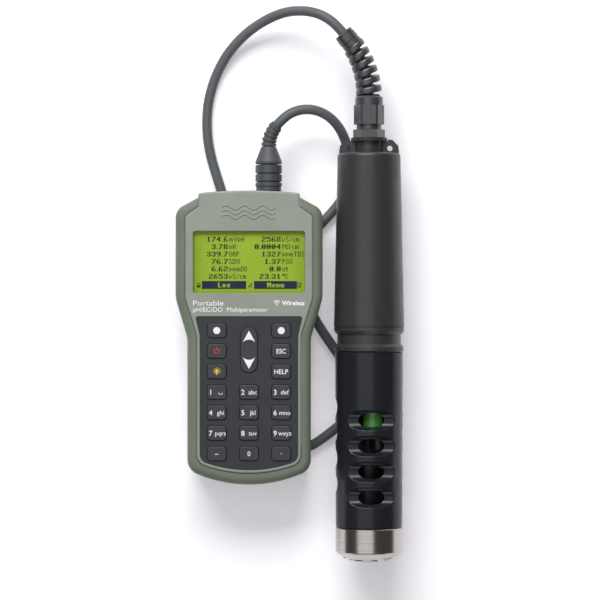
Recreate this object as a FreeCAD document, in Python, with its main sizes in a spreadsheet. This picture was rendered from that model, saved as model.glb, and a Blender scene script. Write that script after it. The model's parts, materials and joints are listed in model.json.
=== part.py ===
"""Portable water quality instrument: a handheld meter, its cable and a submersible probe.

Millimetres. The object lies on its back: +X to the right across the keypad, +Y towards the
meter's socket, +Z out of the keypad. The origin is the centre of the box round the meter and
the probe. Every sub-part is one object with its own Label and Placement. Meter parts are drawn
about the middle of the meter's back, probe parts about the lower end of the probe's axis.
"""
import FreeCAD, Part

import math
import os

import Sketcher
from FreeCAD import Placement, Rotation, Vector

doc = FreeCAD.newDocument("WaterQualityProbe")

# ------------------------------------------------------------------ driving dimensions
DIMENSIONS = {
    # where the two units lie
    "meter_x": (-25.5, "middle of the meter"),
    "meter_y": (-27.8, "middle of the meter"),
    "meter_z": (-22.15, "plane of the meter's back"),
    "probe_x": (50.0, "axis of the probe"),
    "probe_y": (-168.3, "lower end of the probe"),
    # meter outline
    "case_top": (92.4, "middle to top edge of the hood"),
    "case_foot": (92.4, "middle to lowest point of the bumper"),
    "hood_half": (31.9, "half width of the hood"),
    "hood_corner": (90.8, "height of the hood's corners"),
    "hood_foot": (82.3, "where the hood meets the shoulders"),
    "face_half": (40.2, "half width of the face beside the display"),
    "shoulder_y": (76.4, "height of the face's shoulders"),
    "waist_top": (24.6, "where the sides start to close in"),
    "waist_foot": (1.2, "where the grip starts"),
    "grip_half": (32.8, "half width of the face at the grip"),
    "face_foot": (85.2, "middle to lowest point of the face"),
    "foot_arc": (84.0, "radius of the rounded lower end"),
    "bumper_wide": (6.0, "bumper, across its side"),
    # meter depth, from the back plane
    "face_high": (34.4, "plane of the face"),
    "parting": (18.0, "joint between the two shells"),
    "wall": (2.4, "wall of the shells"),
    "seal_thick": (0.7, "gasket between the shells"),
    "gap": (0.15, "gap between shell and bumper"),
    # display and keypad
    "window_half": (35.1, "half width of the display opening"),
    "window_foot": (27.9, "lower edge of the display opening"),
    "window_tall": (39.0, "height of the display opening"),
    "panel_top": (13.2, "top edge of the key panel"),
    "panel_half": (33.5, "half width of the key panel at its top"),
    "panel_narrow": (30.7, "half width of the key panel at the grip"),
    "panel_foot": (83.0, "middle to lowest point of the key panel"),
    "panel_sink": (0.6, "key panel below the face"),
    "panel_thick": (1.0, "key panel"),
    "key_wide": (12.0, "key"),
    "key_tall": (8.9, "key"),
    "key_high": (2.8, "key, top to underside"),
    "key_stand": (0.9, "key above its panel"),
    "key_gap": (0.3, "clearance round a key"),
    "key_pitch_x": (20.2, "between key columns"),
    "key_pitch_y": (12.85, "between key rows"),
    "key_row_y": (4.5, "first key row"),
    "rocker_wide": (10.8, "arrow rocker"),
    "rocker_tall": (28.4, "arrow rocker"),
    "rocker_y": (-7.7, "middle of the arrow rocker"),
    # plug and socket, on the meter
    "plug_x": (12.2, "plug axis"),
    "socket_bore": (12.6, "diameter of the socket"),
    "socket_wide": (17.6, "outer diameter of the socket"),
    "plug_ring": (16.8, "diameter of the locking ring"),
    "relief_turn": (42.0, "bend of the plug's strain relief, degrees"),
    "relief_bend": (20.5, "bend radius of the strain relief"),
    "relief_y": (120.4, "start of the strain relief"),
    # cable
    "cable_wide": (6.3, "cable diameter"),
    # probe, heights from its lower end
    "ring_tall": (20.7, "steel end ring"),
    "ring_wide": (42.3, "steel end ring, diameter"),
    "shield_foot": (21.0, "lower end of the shield"),
    "shield_top": (131.6, "upper end of the shield"),
    "shield_wide": (42.8, "shield, diameter at its top"),
    "shield_bore": (34.6, "shield, inner diameter"),
    "scoop_radius": (6.2, "radius of a water scoop"),
    "scoop_pitch": (16.1, "between scoops"),
    "scoop_first": (40.6, "lowest scoop of the front column"),
    "scoop_turn": (4.0, "front column, degrees off the front"),
    "scoop_lip": (0.7, "rounding of a scoop's outer rim"),
    "notch_turn": (43.0, "first notch of the end ring, degrees off the front"),
    "notch_wide": (7.5, "notch in the end ring"),
    "notch_deep": (3.0, "depth of that notch"),
    "flange_top": (136.6, "upper face of the flange"),
    "neck_top": (142.8, "upper end of the narrow band"),
    "tube_top": (256.9, "upper end of the tube"),
    "tube_wide": (44.3, "tube, diameter at its foot"),
    "tube_narrow": (39.6, "tube, diameter at its top"),
    "tube_wall": (2.2, "tube wall"),
    "ear_x": (13.1, "axis to eyelet"),
    "ear_wide": (10.8, "eyelet lug"),
    "ear_top": (265.4, "top of the eyelet lugs"),
    "ear_thick": (6.0, "eyelet lug, front to back"),
    "eyelet": (3.5, "eyelet, diameter"),
    "neck_wide": (18.2, "cable neck, diameter"),
    "washer_wide": (22.8, "gland washer, diameter"),
    "gland_foot": (264.2, "underside of the gland's washer"),
    "gland_bend": (56.0, "bend radius of the spiral"),
    "gland_turn": (40.0, "bend of the spiral, degrees"),
    "spiral_foot": (292.6, "lower end of the spiral"),
    "spiral_wide": (16.2, "spiral, diameter"),
    "tip_wide": (12.9, "collar at the spiral's tip"),
    "tip_long": (5.2, "half length of that collar"),
    "sensor_wide": (14.0, "sensor body"),
    "sensor_ring": (8.9, "probe axis to sensor axis"),
    "sensor_turn": (16.0, "oxygen sensor, degrees off the front"),
    "sensor_root": (118.0, "underside of the sensor base"),
}

sheet = doc.addObject("Spreadsheet::Sheet", "dims")
for row, (alias, (number, note)) in enumerate(DIMENSIONS.items(), start=1):
    sheet.set(f"A{row}", alias)
    sheet.set(f"B{row}", str(number))
    sheet.set(f"C{row}", note)
    sheet.setAlias(f"B{row}", alias)
doc.recompute()


class Size:
    """A length with its value and the sheet formula that gives it."""

    def __init__(self, number, text):
        self.number = number
        self.text = text

    def __add__(self, other):
        return Size(self.number + number_of(other), f"({self.text} + {text_of(other)})")

    def __radd__(self, other):
        return Size(number_of(other) + self.number, f"({text_of(other)} + {self.text})")

    def __sub__(self, other):
        return Size(self.number - number_of(other), f"({self.text} - {text_of(other)})")

    def __rsub__(self, other):
        return Size(number_of(other) - self.number, f"({text_of(other)} - {self.text})")

    def __mul__(self, other):
        return Size(self.number * number_of(other), f"({self.text} * {text_of(other)})")

    __rmul__ = __mul__

    def __truediv__(self, other):
        return Size(self.number / number_of(other), f"({self.text} / {text_of(other)})")

    def __neg__(self):
        return Size(-self.number, f"(0 - {self.text})")


def number_of(size):
    """The plain number of a Size or number."""
    return size.number if isinstance(size, Size) else float(size)


def text_of(size):
    """The sheet formula of a Size or number."""
    return size.text if isinstance(size, Size) else f"{float(size):.6f}"


def dim(alias):
    """The sheet's cell with this alias."""
    return Size(float(sheet.get(alias)), f"dims.{alias}")


def bind(thing, path, size):
    """Bind a property, or a part of one, to the sheet."""
    if isinstance(size, Size):
        thing.setExpression(path, size.text)


# ------------------------------------------------------------------ drawing helpers
METER = (dim("meter_x"), dim("meter_y"), dim("meter_z"))
PROBE = (dim("probe_x"), dim("probe_y"), 0.0)


def place(thing, seat):
    """Put a sub-part on the meter or on the probe."""
    thing.Placement = Placement(Vector(*map(number_of, seat)), Rotation())
    for axis, size in zip("xyz", seat):
        bind(thing, f".Placement.Base.{axis}", size)


def new_body(label, seat):
    """An empty PartDesign body, in its place."""
    body = doc.addObject("PartDesign::Body", label)
    body.Label = label
    place(body, seat)
    return body


def new_sketch(body, plane="XY_Plane", lift=0.0, turn=0.0):
    """A sketch on one of the body's own planes, lifted along its normal, turned about its X."""
    sketch = body.newObject("Sketcher::SketchObject", f"{body.Label}_sketch")
    support = [item for item in body.Origin.OriginFeatures if item.Role == plane][0]
    sketch.AttachmentSupport = [(support, "")]
    sketch.MapMode = "FlatFace"
    spin = Rotation(Vector(1, 0, 0), number_of(turn))
    sketch.AttachmentOffset = Placement(Vector(0, 0, number_of(lift)), spin)
    bind(sketch, "AttachmentOffset.Base.z", lift)
    return sketch


def pin_point(sketch, item, end, x, y):
    """Fix one point of a sketch item at (x, y)."""
    for kind, size in (("DistanceX", x), ("DistanceY", y)):
        index = sketch.addConstraint(Sketcher.Constraint(kind, -1, 1, item, end, number_of(size)))
        bind(sketch, f"Constraints[{index}]", size)


def draw_circle(sketch, x, y, diameter):
    """A full circle."""
    middle = Vector(number_of(x), number_of(y), 0)
    radius = diameter / 2
    item = sketch.addGeometry(Part.Circle(middle, Vector(0, 0, 1), number_of(radius)), False)
    pin_point(sketch, item, 3, x, y)
    index = sketch.addConstraint(Sketcher.Constraint("Radius", item, number_of(radius)))
    bind(sketch, f"Constraints[{index}]", radius)


def draw_loop(sketch, corners):
    """A closed loop, drawn anticlockwise.

    A corner is (x, y) or (x, y, radius): with a radius, the side that leaves the corner is an
    arc that bulges outwards.
    """
    spots = [Vector(number_of(corner[0]), number_of(corner[1]), 0) for corner in corners]
    first = sketch.GeometryCount
    for index, corner in enumerate(corners):
        here, there = spots[index], spots[(index + 1) % len(spots)]
        if len(corner) == 3:
            side = there - here
            sagitta = number_of(corner[2])
            sagitta -= math.sqrt(sagitta ** 2 - (side.Length / 2) ** 2)
            outward = Vector(side.y, -side.x, 0).normalize()
            middle = (here + there) * 0.5 + outward * sagitta
            sketch.addGeometry(Part.Arc(here, middle, there), False)
        else:
            sketch.addGeometry(Part.LineSegment(here, there), False)
    for index, corner in enumerate(corners):
        item, following = first + index, first + (index + 1) % len(corners)
        sketch.addConstraint(Sketcher.Constraint("Coincident", item, 2, following, 1))
        pin_point(sketch, item, 1, corner[0], corner[1])
        if len(corner) == 3:
            number = number_of(corner[2])
            radius = sketch.addConstraint(Sketcher.Constraint("Radius", item, number))
            bind(sketch, f"Constraints[{radius}]", corner[2])


def box_corners(x, y, wide, tall):
    """Corners of a rectangle about (x, y)."""
    return [
        (x - wide / 2, y - tall / 2),
        (x + wide / 2, y - tall / 2),
        (x + wide / 2, y + tall / 2),
        (x - wide / 2, y + tall / 2),
    ]


def pad(body, sketch, length, reverse=False):
    """Add the sketch's area as a block."""
    feature = body.newObject("PartDesign::Pad", f"{body.Label}_pad")
    feature.Profile = sketch
    feature.Length = number_of(length)
    bind(feature, "Length", length)
    feature.Reversed = reverse
    doc.recompute()
    return feature


def pocket(body, sketch, length, reverse=False, both_ways=False):
    """Cut the sketch's area away, and make sure that something was cut."""
    before = body.Shape.Volume
    feature = body.newObject("PartDesign::Pocket", f"{body.Label}_pocket")
    feature.Profile = sketch
    feature.Type = "Length"
    feature.Length = number_of(length)
    bind(feature, "Length", length)
    feature.Reversed = reverse
    if both_ways:
        feature.SideType = "Symmetric"
    doc.recompute()
    if feature.Shape.Volume >= before - 1e-6:
        raise RuntimeError(f"{feature.Label} cuts nothing")
    return feature


def revolve(body, profile):
    """Turn a profile of (radius, height) corners about the body's Y axis."""
    sketch = new_sketch(body)
    draw_loop(sketch, profile)
    feature = body.newObject("PartDesign::Revolution", f"{body.Label}_turned")
    feature.Profile = sketch
    feature.ReferenceAxis = (sketch, ["V_Axis"])
    feature.Angle = 360
    doc.recompute()
    return feature


def fillet(body, radius, chosen):
    """Round the edges of the body's last feature that pass the test."""
    base = body.Tip
    names = [f"Edge{index}" for index, edge in enumerate(base.Shape.Edges, start=1) if chosen(edge)]
    if not names:
        raise RuntimeError(f"{body.Label} has no such edge")
    feature = body.newObject("PartDesign::Fillet", f"{body.Label}_fillet")
    feature.Base = (base, names)
    feature.Radius = number_of(radius)
    bind(feature, "Radius", radius)
    doc.recompute()
    if not feature.isValid():
        raise RuntimeError(f"{body.Label} could not be rounded by {number_of(radius)}")
    return feature


def chamfer(body, size, chosen):
    """Bevel the edges of the body's last feature that pass the test."""
    base = body.Tip
    names = [f"Edge{index}" for index, edge in enumerate(base.Shape.Edges, start=1) if chosen(edge)]
    if not names:
        raise RuntimeError(f"{body.Label} has no such edge")
    feature = body.newObject("PartDesign::Chamfer", f"{body.Label}_chamfer")
    feature.Base = (base, names)
    feature.Size = number_of(size)
    bind(feature, "Size", size)
    doc.recompute()
    return feature


def upright_at(*spots):
    """A test for the edges along Z at the given (x, y) spots."""
    targets = [Vector(number_of(x), number_of(y), 0) for x, y in spots]

    def chosen(edge):
        ends = [vertex.Point for vertex in edge.Vertexes]
        if len(ends) != 2 or abs(ends[0].z - ends[1].z) < 0.5:
            return False
        return all(any(math.hypot(end.x - spot.x, end.y - spot.y) < 0.02 for spot in targets)
                   for end in ends)

    return chosen


def at_level(height, axis="z"):
    """A test for the edges that lie in a plane square to an axis."""
    level = number_of(height)

    def chosen(edge):
        box = edge.BoundBox
        low, high = (box.ZMin, box.ZMax) if axis == "z" else (box.YMin, box.YMax)
        return abs(low - level) < 0.02 and abs(high - level) < 0.02

    return chosen


def rim_of(body, height, inner=False):
    """A test for the outer, or inner, edges of the body's face at a height."""
    flat = at_level(height)
    faces = [face for face in body.Tip.Shape.Faces if flat(face.OuterWire)]
    face = max(faces, key=lambda candidate: candidate.Area)
    wires = [wire for wire in face.Wires if wire.isSame(face.OuterWire) != inner]
    edges = [edge for wire in wires for edge in wire.Edges]

    def chosen(edge):
        return any(edge.isSame(other) for other in edges)

    return chosen


# ------------------------------------------------------------------ meter outlines
def case_outline(inset):
    """The outline of the two shells, moved inwards."""
    hood, face, grip = (dim(name) - inset for name in ("hood_half", "face_half", "grip_half"))
    foot = -dim("face_foot") + inset + 6.7
    return [
        (-grip, foot, dim("foot_arc")),
        (grip, foot),
        (grip, dim("waist_foot")),
        (face, dim("waist_top")),
        (face, dim("shoulder_y") - inset / 2),
        (hood, dim("hood_foot") - inset / 2),
        (hood, dim("hood_corner") - inset, 320.0),
        (-hood, dim("hood_corner") - inset),
        (-hood, dim("hood_foot") - inset / 2),
        (-face, dim("shoulder_y") - inset / 2),
        (-face, dim("waist_top")),
        (-grip, dim("waist_foot")),
    ]


def bumper_outline():
    """The outer outline of the bumper, open only at the hood."""
    wide = dim("bumper_wide")
    face, grip = dim("face_half") + wide, dim("grip_half") + wide
    foot = -dim("case_foot") + 9.6
    return [
        (-grip, foot, dim("foot_arc")),
        (grip, foot),
        (grip, dim("waist_foot") - 1.4),
        (face, dim("waist_top") + 0.3),
        (face, dim("shoulder_y") + 4.0),
        (dim("hood_half"), dim("hood_foot") + 5.8),
        (-dim("hood_half"), dim("hood_foot") + 5.8),
        (-face, dim("shoulder_y") + 4.0),
        (-face, dim("waist_top") + 0.3),
        (-grip, dim("waist_foot") - 1.4),
    ]


def panel_outline(inset):
    """The outline of the key panel, moved inwards."""
    top, narrow = dim("panel_half") - inset, dim("panel_narrow") - inset
    foot = -dim("panel_foot") + inset + 6.0
    return [
        (-narrow, foot, dim("foot_arc") - 2.0),
        (narrow, foot),
        (narrow, dim("waist_foot")),
        (top, dim("panel_top") - inset),
        (-top, dim("panel_top") - inset),
        (-narrow, dim("waist_foot")),
    ]


def round_corners(body, outline, radii):
    """Round the upright edges at some corners of an outline. Radii are keyed by corner."""
    for radius in sorted(set(radii.values())):
        spots = [outline[index][:2] for index, size in radii.items() if size == radius]
        fillet(body, radius, upright_at(*spots))


CASE_RADII = {0: 7.5, 1: 7.5, 2: 18.0, 11: 18.0, 3: 17.0, 10: 17.0, 4: 4.0, 9: 4.0, 6: 2.0, 7: 2.0}
BUMPER_RADII = {0: 10.0, 1: 10.0, 2: 20.0, 9: 20.0, 3: 22.0, 8: 22.0, 4: 8.6, 7: 8.6}
PANEL_RADII = {0: 6.0, 1: 6.0, 2: 5.0, 5: 5.0, 3: 1.5, 4: 1.5}
SCREW_SPOTS = [(-34.5, 72.5), (34.5, 72.5), (-32.0, 20.3), (32.0, 20.3)]
COVER_SPOTS = [(-28.0, -6.5), (28.0, -6.5), (-28.0, -65.5), (28.0, -65.5)]


def socket_cut(body, diameter):
    """Cut the round way through the top wall where the socket sits."""
    sketch = new_sketch(body, "XZ_Plane", -(dim("case_top") + 1.0))
    draw_circle(sketch, dim("plug_x"), dim("parting"), diameter)
    pocket(body, sketch, 16.0, reverse=True)


def make_meter_face():
    """Front shell, with its display opening and its key panel seat."""
    body = new_body("meter_face", METER)
    outline = case_outline(0.0)
    sketch = new_sketch(body, lift=dim("parting") + dim("seal_thick") / 2)
    draw_loop(sketch, outline)
    pad(body, sketch, dim("face_high") - dim("parting") - dim("seal_thick") / 2)
    round_corners(body, outline, CASE_RADII)
    sketch = new_sketch(body, lift=dim("face_high") - dim("wall"))
    draw_loop(sketch, case_outline(dim("wall")))
    pocket(body, sketch, dim("face_high"))
    middle = dim("window_foot") + dim("window_tall") / 2
    window = box_corners(0.0, middle, dim("window_half") * 2, dim("window_tall"))
    sketch = new_sketch(body, lift=dim("face_high") + 1.0)
    draw_loop(sketch, window)
    pocket(body, sketch, 8.0)
    fillet(body, 1.6, upright_at(*window))
    sketch = new_sketch(body, lift=dim("face_high") + 1.0)
    seat = panel_outline(-dim("gap"))
    draw_loop(sketch, seat)
    pocket(body, sketch, dim("panel_sink") + dim("panel_thick") + 1.0)
    round_corners(body, seat, PANEL_RADII)
    fillet(body, 0.35, rim_of(body, dim("face_high"), inner=True))
    fillet(body, 1.3, rim_of(body, dim("face_high")))
    sketch = new_sketch(body, lift=dim("face_high"))
    draw_loop(sketch, box_corners(0.0, -33.4, 54.0, 89.0))
    pocket(body, sketch, 4.0)
    sketch = new_sketch(body, lift=dim("parting") + dim("seal_thick") / 2)
    for x, y in SCREW_SPOTS:
        draw_circle(sketch, x, y, 7.0)
    pad(body, sketch, dim("face_high") - dim("parting") - 2.0)
    sketch = new_sketch(body, lift=dim("parting") + 8.0)
    for x, y in SCREW_SPOTS:
        draw_circle(sketch, x, y, 2.9)
    pocket(body, sketch, 10.0)
    socket_cut(body, dim("socket_wide"))


def make_meter_back():
    """Back shell, with its battery bay."""
    body = new_body("meter_back", METER)
    outline = case_outline(0.0)
    sketch = new_sketch(body)
    draw_loop(sketch, outline)
    pad(body, sketch, dim("parting") - dim("seal_thick") / 2)
    round_corners(body, outline, CASE_RADII)
    fillet(body, 1.8, at_level(0.0))
    sketch = new_sketch(body, lift=dim("parting"))
    draw_loop(sketch, case_outline(dim("wall")))
    pocket(body, sketch, dim("parting") - dim("wall"))
    sketch = new_sketch(body, lift=dim("wall"))
    for x, y in SCREW_SPOTS:
        draw_circle(sketch, x, y, 7.0)
    pad(body, sketch, dim("parting") - dim("wall") - dim("seal_thick") / 2)
    sketch = new_sketch(body, lift=dim("parting"))
    for x, y in SCREW_SPOTS:
        draw_circle(sketch, x, y, 3.2)
    pocket(body, sketch, 20.0)
    sketch = new_sketch(body, lift=3.0)
    for x, y in SCREW_SPOTS:
        draw_circle(sketch, x, y, 6.0)
    pocket(body, sketch, 4.0)
    sketch = new_sketch(body, lift=1.7)
    draw_loop(sketch, box_corners(0.0, -36.0, 64.4, 66.4))
    pocket(body, sketch, 3.0)
    sketch = new_sketch(body, lift=4.0)
    draw_loop(sketch, box_corners(0.0, -36.0, 58.6, 54.0))
    pocket(body, sketch, 5.0)
    sketch = new_sketch(body, lift=4.0)
    for x, y in COVER_SPOTS:
        draw_circle(sketch, x, y, 2.0)
    pocket(body, sketch, 5.0)
    socket_cut(body, dim("socket_wide"))


def make_meter_bumper():
    """Soft bumper round both shells, open at the hood."""
    body = new_body("meter_bumper", METER)
    outline = bumper_outline()
    sketch = new_sketch(body, lift=1.0)
    draw_loop(sketch, outline)
    pad(body, sketch, dim("face_high") - 1.4)
    round_corners(body, outline, BUMPER_RADII)
    fillet(body, 4.6, at_level(dim("face_high") - 0.4))
    fillet(body, 4.0, at_level(1.0))
    sketch = new_sketch(body, lift=dim("face_high") + 1.0)
    hole = case_outline(-dim("gap"))
    draw_loop(sketch, hole)
    pocket(body, sketch, dim("face_high") + 4.0)
    round_corners(body, hole, {key: CASE_RADII[key] for key in (0, 1, 2, 11, 3, 10, 4, 9)})


def make_case_seal():
    """Flat gasket between the shells, open where the socket passes."""
    body = new_body("case_seal", METER)
    outline = case_outline(0.3)
    sketch = new_sketch(body, lift=dim("parting") - dim("seal_thick") / 2)
    draw_loop(sketch, outline)
    pad(body, sketch, dim("seal_thick"))
    round_corners(body, outline, CASE_RADII)
    sketch = new_sketch(body, lift=dim("parting") + 1.0)
    draw_loop(sketch, case_outline(dim("wall") - 0.2))
    pocket(body, sketch, 2.0)
    socket_cut(body, dim("socket_wide"))


def make_screws(label, spots, head_lift, head, head_thick, shank, length):
    """A group of slotted screws that go in from the back."""
    body = new_body(label, METER)
    sketch = new_sketch(body, lift=head_lift)
    for x, y in spots:
        draw_circle(sketch, x, y, head)
    pad(body, sketch, head_thick)
    sketch = new_sketch(body, lift=head_lift + head_thick)
    for x, y in spots:
        draw_circle(sketch, x, y, shank)
    pad(body, sketch, length)
    sketch = new_sketch(body, lift=head_lift)
    for x, y in spots:
        draw_loop(sketch, box_corners(x, y, 0.7, head * 0.7))
    pocket(body, sketch, head_thick / 2, reverse=True)


def make_battery_bay():
    """Battery cover, its seal and screws, the cells and their contacts."""
    body = new_body("battery_cover", METER)
    sketch = new_sketch(body, lift=0.1)
    plate = box_corners(0.0, -36.0, 64.0, 66.0)
    draw_loop(sketch, plate)
    pad(body, sketch, 1.3)
    fillet(body, 2.0, upright_at(*plate))
    sketch = new_sketch(body, lift=3.0)
    for x, y in COVER_SPOTS:
        draw_circle(sketch, x, y, 2.0)
    pocket(body, sketch, 5.0)
    sketch = new_sketch(body, lift=0.85)
    for x, y in COVER_SPOTS:
        draw_circle(sketch, x, y, 4.0)
    pocket(body, sketch, 2.0)
    sketch = new_sketch(body, lift=0.1)
    for rib in range(5):
        draw_loop(sketch, box_corners(0.0, -14.0 - 2.2 * rib, 22.0, 1.0))
    pocket(body, sketch, 0.5, reverse=True)

    seal = new_body("battery_cover_seal", METER)
    sketch = new_sketch(seal, lift=1.42)
    draw_loop(sketch, box_corners(0.0, -36.0, 61.6, 57.0))
    draw_loop(sketch, box_corners(0.0, -36.0, 59.2, 54.6))
    pad(seal, sketch, 0.26)

    cells = new_body("batteries", METER)
    sketch = new_sketch(cells, "XZ_Plane", 61.0)
    nubs = new_sketch(cells, "XZ_Plane", 11.5)
    for slot in range(4):
        x = -21.6 + 14.4 * slot
        draw_circle(sketch, x, 10.6, 14.2)
        draw_circle(nubs, x, 10.6, 5.2)
    pad(cells, sketch, 49.5, reverse=True)
    pad(cells, nubs, 1.2, reverse=True)

    contacts = new_body("battery_contacts", METER)
    for lift in (62.0, 9.9):
        sketch = new_sketch(contacts, "XZ_Plane", lift)
        draw_loop(sketch, box_corners(0.0, 10.6, 56.0, 11.0))
        pad(contacts, sketch, 0.6, reverse=True)

    make_screws("battery_cover_screws", COVER_SPOTS, 0.15, 3.6, 0.65, 1.8, 2.4)


def make_boards():
    """Main board and display module."""
    board = new_body("main_board", METER)
    sketch = new_sketch(board, lift=21.0)
    draw_loop(sketch, box_corners(0.0, 1.5, 54.0, 139.0))
    pad(board, sketch, 1.6)
    for x, y, wide, tall, high in ((-12.0, 20.0, 12.0, 12.0, 1.4), (9.0, 8.0, 7.0, 10.0, 1.8),
                                   (-8.0, -20.0, 9.0, 9.0, 1.2), (13.0, -42.0, 14.0, 6.0, 2.2)):
        sketch = new_sketch(board, lift=22.6)
        draw_loop(sketch, box_corners(x, y, wide, tall))
        pad(board, sketch, high)
    module = new_body("display_module", METER)
    middle = dim("window_foot") + dim("window_tall") / 2
    sketch = new_sketch(module, lift=27.0)
    draw_loop(sketch, box_corners(0.0, middle, 73.0, 42.0))
    pad(module, sketch, 4.6)


def make_display_window():
    """Clear window, set in the display opening."""
    body = new_body("display_window", METER)
    middle = dim("window_foot") + dim("window_tall") / 2
    wide, tall = dim("window_half") * 2 - 0.16, dim("window_tall") - 0.16
    corners = box_corners(0.0, middle, wide, tall)
    sketch = new_sketch(body, lift=dim("face_high") - 2.4)
    draw_loop(sketch, corners)
    pad(body, sketch, 1.4)
    fillet(body, 1.5, upright_at(*corners))


# ------------------------------------------------------------------ keys
KEY_ROWS = [
    ("key_soft_left", None, "key_soft_right"),
    ("key_power", None, "key_escape"),
    ("key_light", None, "key_help"),
    ("key_1", "key_2", "key_3"),
    ("key_4", "key_5", "key_6"),
    ("key_7", "key_8", "key_9"),
    ("key_minus", "key_0", "key_point"),
]


def key_places():
    """Each key's name and the middle of its cap."""
    for row, names in enumerate(KEY_ROWS):
        for column, name in enumerate(names):
            if name:
                x = dim("key_pitch_x") * (column - 1)
                yield name, x, dim("key_row_y") - dim("key_pitch_y") * row


def rocker_loop(grow):
    """The long oval of the arrow rocker, grown on every side."""
    half, reach = dim("rocker_wide") / 2 + grow, (dim("rocker_tall") - dim("rocker_wide")) / 2
    low, high = dim("rocker_y") - reach, dim("rocker_y") + reach
    end = half * 1.0001
    return [(-half, low, end), (half, low), (half, high, end), (-half, high)]


def make_keypad():
    """Key panel, key mat, caps and the arrow rocker."""
    panel = new_body("keypad_overlay", METER)
    outline = panel_outline(0.0)
    sketch = new_sketch(panel, lift=dim("face_high") - dim("panel_sink") - dim("panel_thick"))
    draw_loop(sketch, outline)
    pad(panel, sketch, dim("panel_thick"))
    round_corners(panel, outline, PANEL_RADII)
    holes = []
    sketch = new_sketch(panel, lift=dim("face_high"))
    wide, tall = dim("key_wide") + 2 * dim("key_gap"), dim("key_tall") + 2 * dim("key_gap")
    for _, x, y in key_places():
        hole = box_corners(x, y, wide, tall)
        draw_loop(sketch, hole)
        holes += hole
    draw_loop(sketch, rocker_loop(dim("key_gap")))
    pocket(panel, sketch, 4.0)
    fillet(panel, 2.3, upright_at(*holes))

    mat = new_body("keypad_mat", METER)
    sketch = new_sketch(mat, lift=dim("face_high") - 5.5)
    draw_loop(sketch, box_corners(0.0, -33.8, 53.4, 87.0))
    pad(mat, sketch, 1.6)

    top = dim("face_high") - dim("panel_sink") + dim("key_stand")
    for name, x, y in key_places():
        cap = new_body(name, METER)
        corners = box_corners(x, y, dim("key_wide"), dim("key_tall"))
        sketch = new_sketch(cap, lift=top - dim("key_high"))
        draw_loop(sketch, corners)
        pad(cap, sketch, dim("key_high"))
        fillet(cap, 2.0, upright_at(*corners))
        fillet(cap, 0.5, at_level(top))

    rocker = new_body("key_arrows", METER)
    sketch = new_sketch(rocker, lift=top - dim("key_high") + 0.6)
    draw_loop(sketch, rocker_loop(0.0))
    pad(rocker, sketch, dim("key_high") - 0.6)
    fillet(rocker, 0.5, at_level(top))


# ------------------------------------------------------------------ socket and plug
def turned(label, seat, profile):
    """A turned sub-part about the plug's or the probe's axis."""
    body = new_body(label, seat)
    revolve(body, profile)
    return body


PLUG = (METER[0] + dim("plug_x"), METER[1], METER[2] + dim("parting"))


def make_plug():
    """Socket in the meter, and the plug with its locking ring, boot and strain relief."""
    socket, bore = dim("socket_wide") / 2, dim("socket_bore") / 2
    turned("probe_socket", PLUG, [
        (0.0, 79.0), (socket - 0.05, 79.0), (socket - 0.05, 92.2), (bore, 92.2), (bore, 82.0),
        (0.0, 82.0),
    ])
    pins = new_body("plug_pins", PLUG)
    sketch = new_sketch(pins, "XZ_Plane", -82.1)
    for pin in range(5):
        angle = math.radians(72.0 * pin + 18.0)
        draw_circle(sketch, 3.2 * math.cos(angle), 3.2 * math.sin(angle), 1.2)
    pad(pins, sketch, 3.3, reverse=True)
    turned("plug_body", PLUG, [
        (0.0, 85.5), (5.9, 85.5), (6.1, 85.8), (6.1, 92.5), (7.6, 92.5), (7.9, 92.8), (7.9, 95.1),
        (5.6, 95.1), (5.6, 109.4), (0.0, 109.4),
    ])
    ring = dim("plug_ring") / 2
    profile = [(5.7, 95.3), (ring - 0.35, 95.3)]
    for low, high in ((95.3, 97.7), (98.5, 102.9), (103.7, 108.9)):
        profile += [(ring, low + 0.35), (ring, high - 0.35), (ring - 0.35, high)]
        if high < 108.0:
            profile += [(ring - 0.9, high + 0.1), (ring - 0.9, high + 0.7), (ring - 0.35, high + 0.8)]
    profile += [(5.7, 108.9)]
    turned("plug_lock_ring", PLUG, profile)
    turned("plug_boot", PLUG, [
        (0.0, 109.5), (ring - 0.4, 109.5), (ring, 109.9), (ring, 111.2), (ring - 0.5, 112.2),
        (5.1, 119.6), (4.65, 120.4), (0.0, 120.4),
    ])


def relief_frame(share):
    """Point and heading on the strain relief's bend, about the plug axis. Share runs 0 to 1."""
    bend = number_of(dim("relief_bend"))
    turn = math.radians(number_of(dim("relief_turn"))) * share
    start = number_of(dim("relief_y"))
    spot = Vector(bend * (1.0 - math.cos(turn)), start + bend * math.sin(turn), 0.0)
    return spot, Vector(math.sin(turn), math.cos(turn), 0.0)


def disc_at(frame, radius, length):
    """A disc whose middle sits on a frame."""
    spot, heading = frame
    return Part.makeCylinder(radius, length, spot - heading * (length / 2), heading)


def make_strain_relief():
    """Bent core with staggered ridges, open round the cable."""
    bend, turn = number_of(dim("relief_bend")), number_of(dim("relief_turn"))
    start, _ = relief_frame(0.0)
    core = Part.Face(Part.Wire(Part.makeCircle(3.9, start, Vector(0, 1, 0))))
    shape = core.revolve(start + Vector(bend, 0, 0), Vector(0, 0, -1), turn)
    for ridge in range(5):
        shape = shape.fuse(disc_at(relief_frame(0.1 + 0.19 * ridge), 4.75 - 0.1 * ridge, 1.7))
    relief = doc.addObject("Part::Feature", "plug_strain_relief")
    relief.Label = "plug_strain_relief"
    relief.Shape = shape.removeSplitter()
    place(relief, PLUG)


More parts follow.
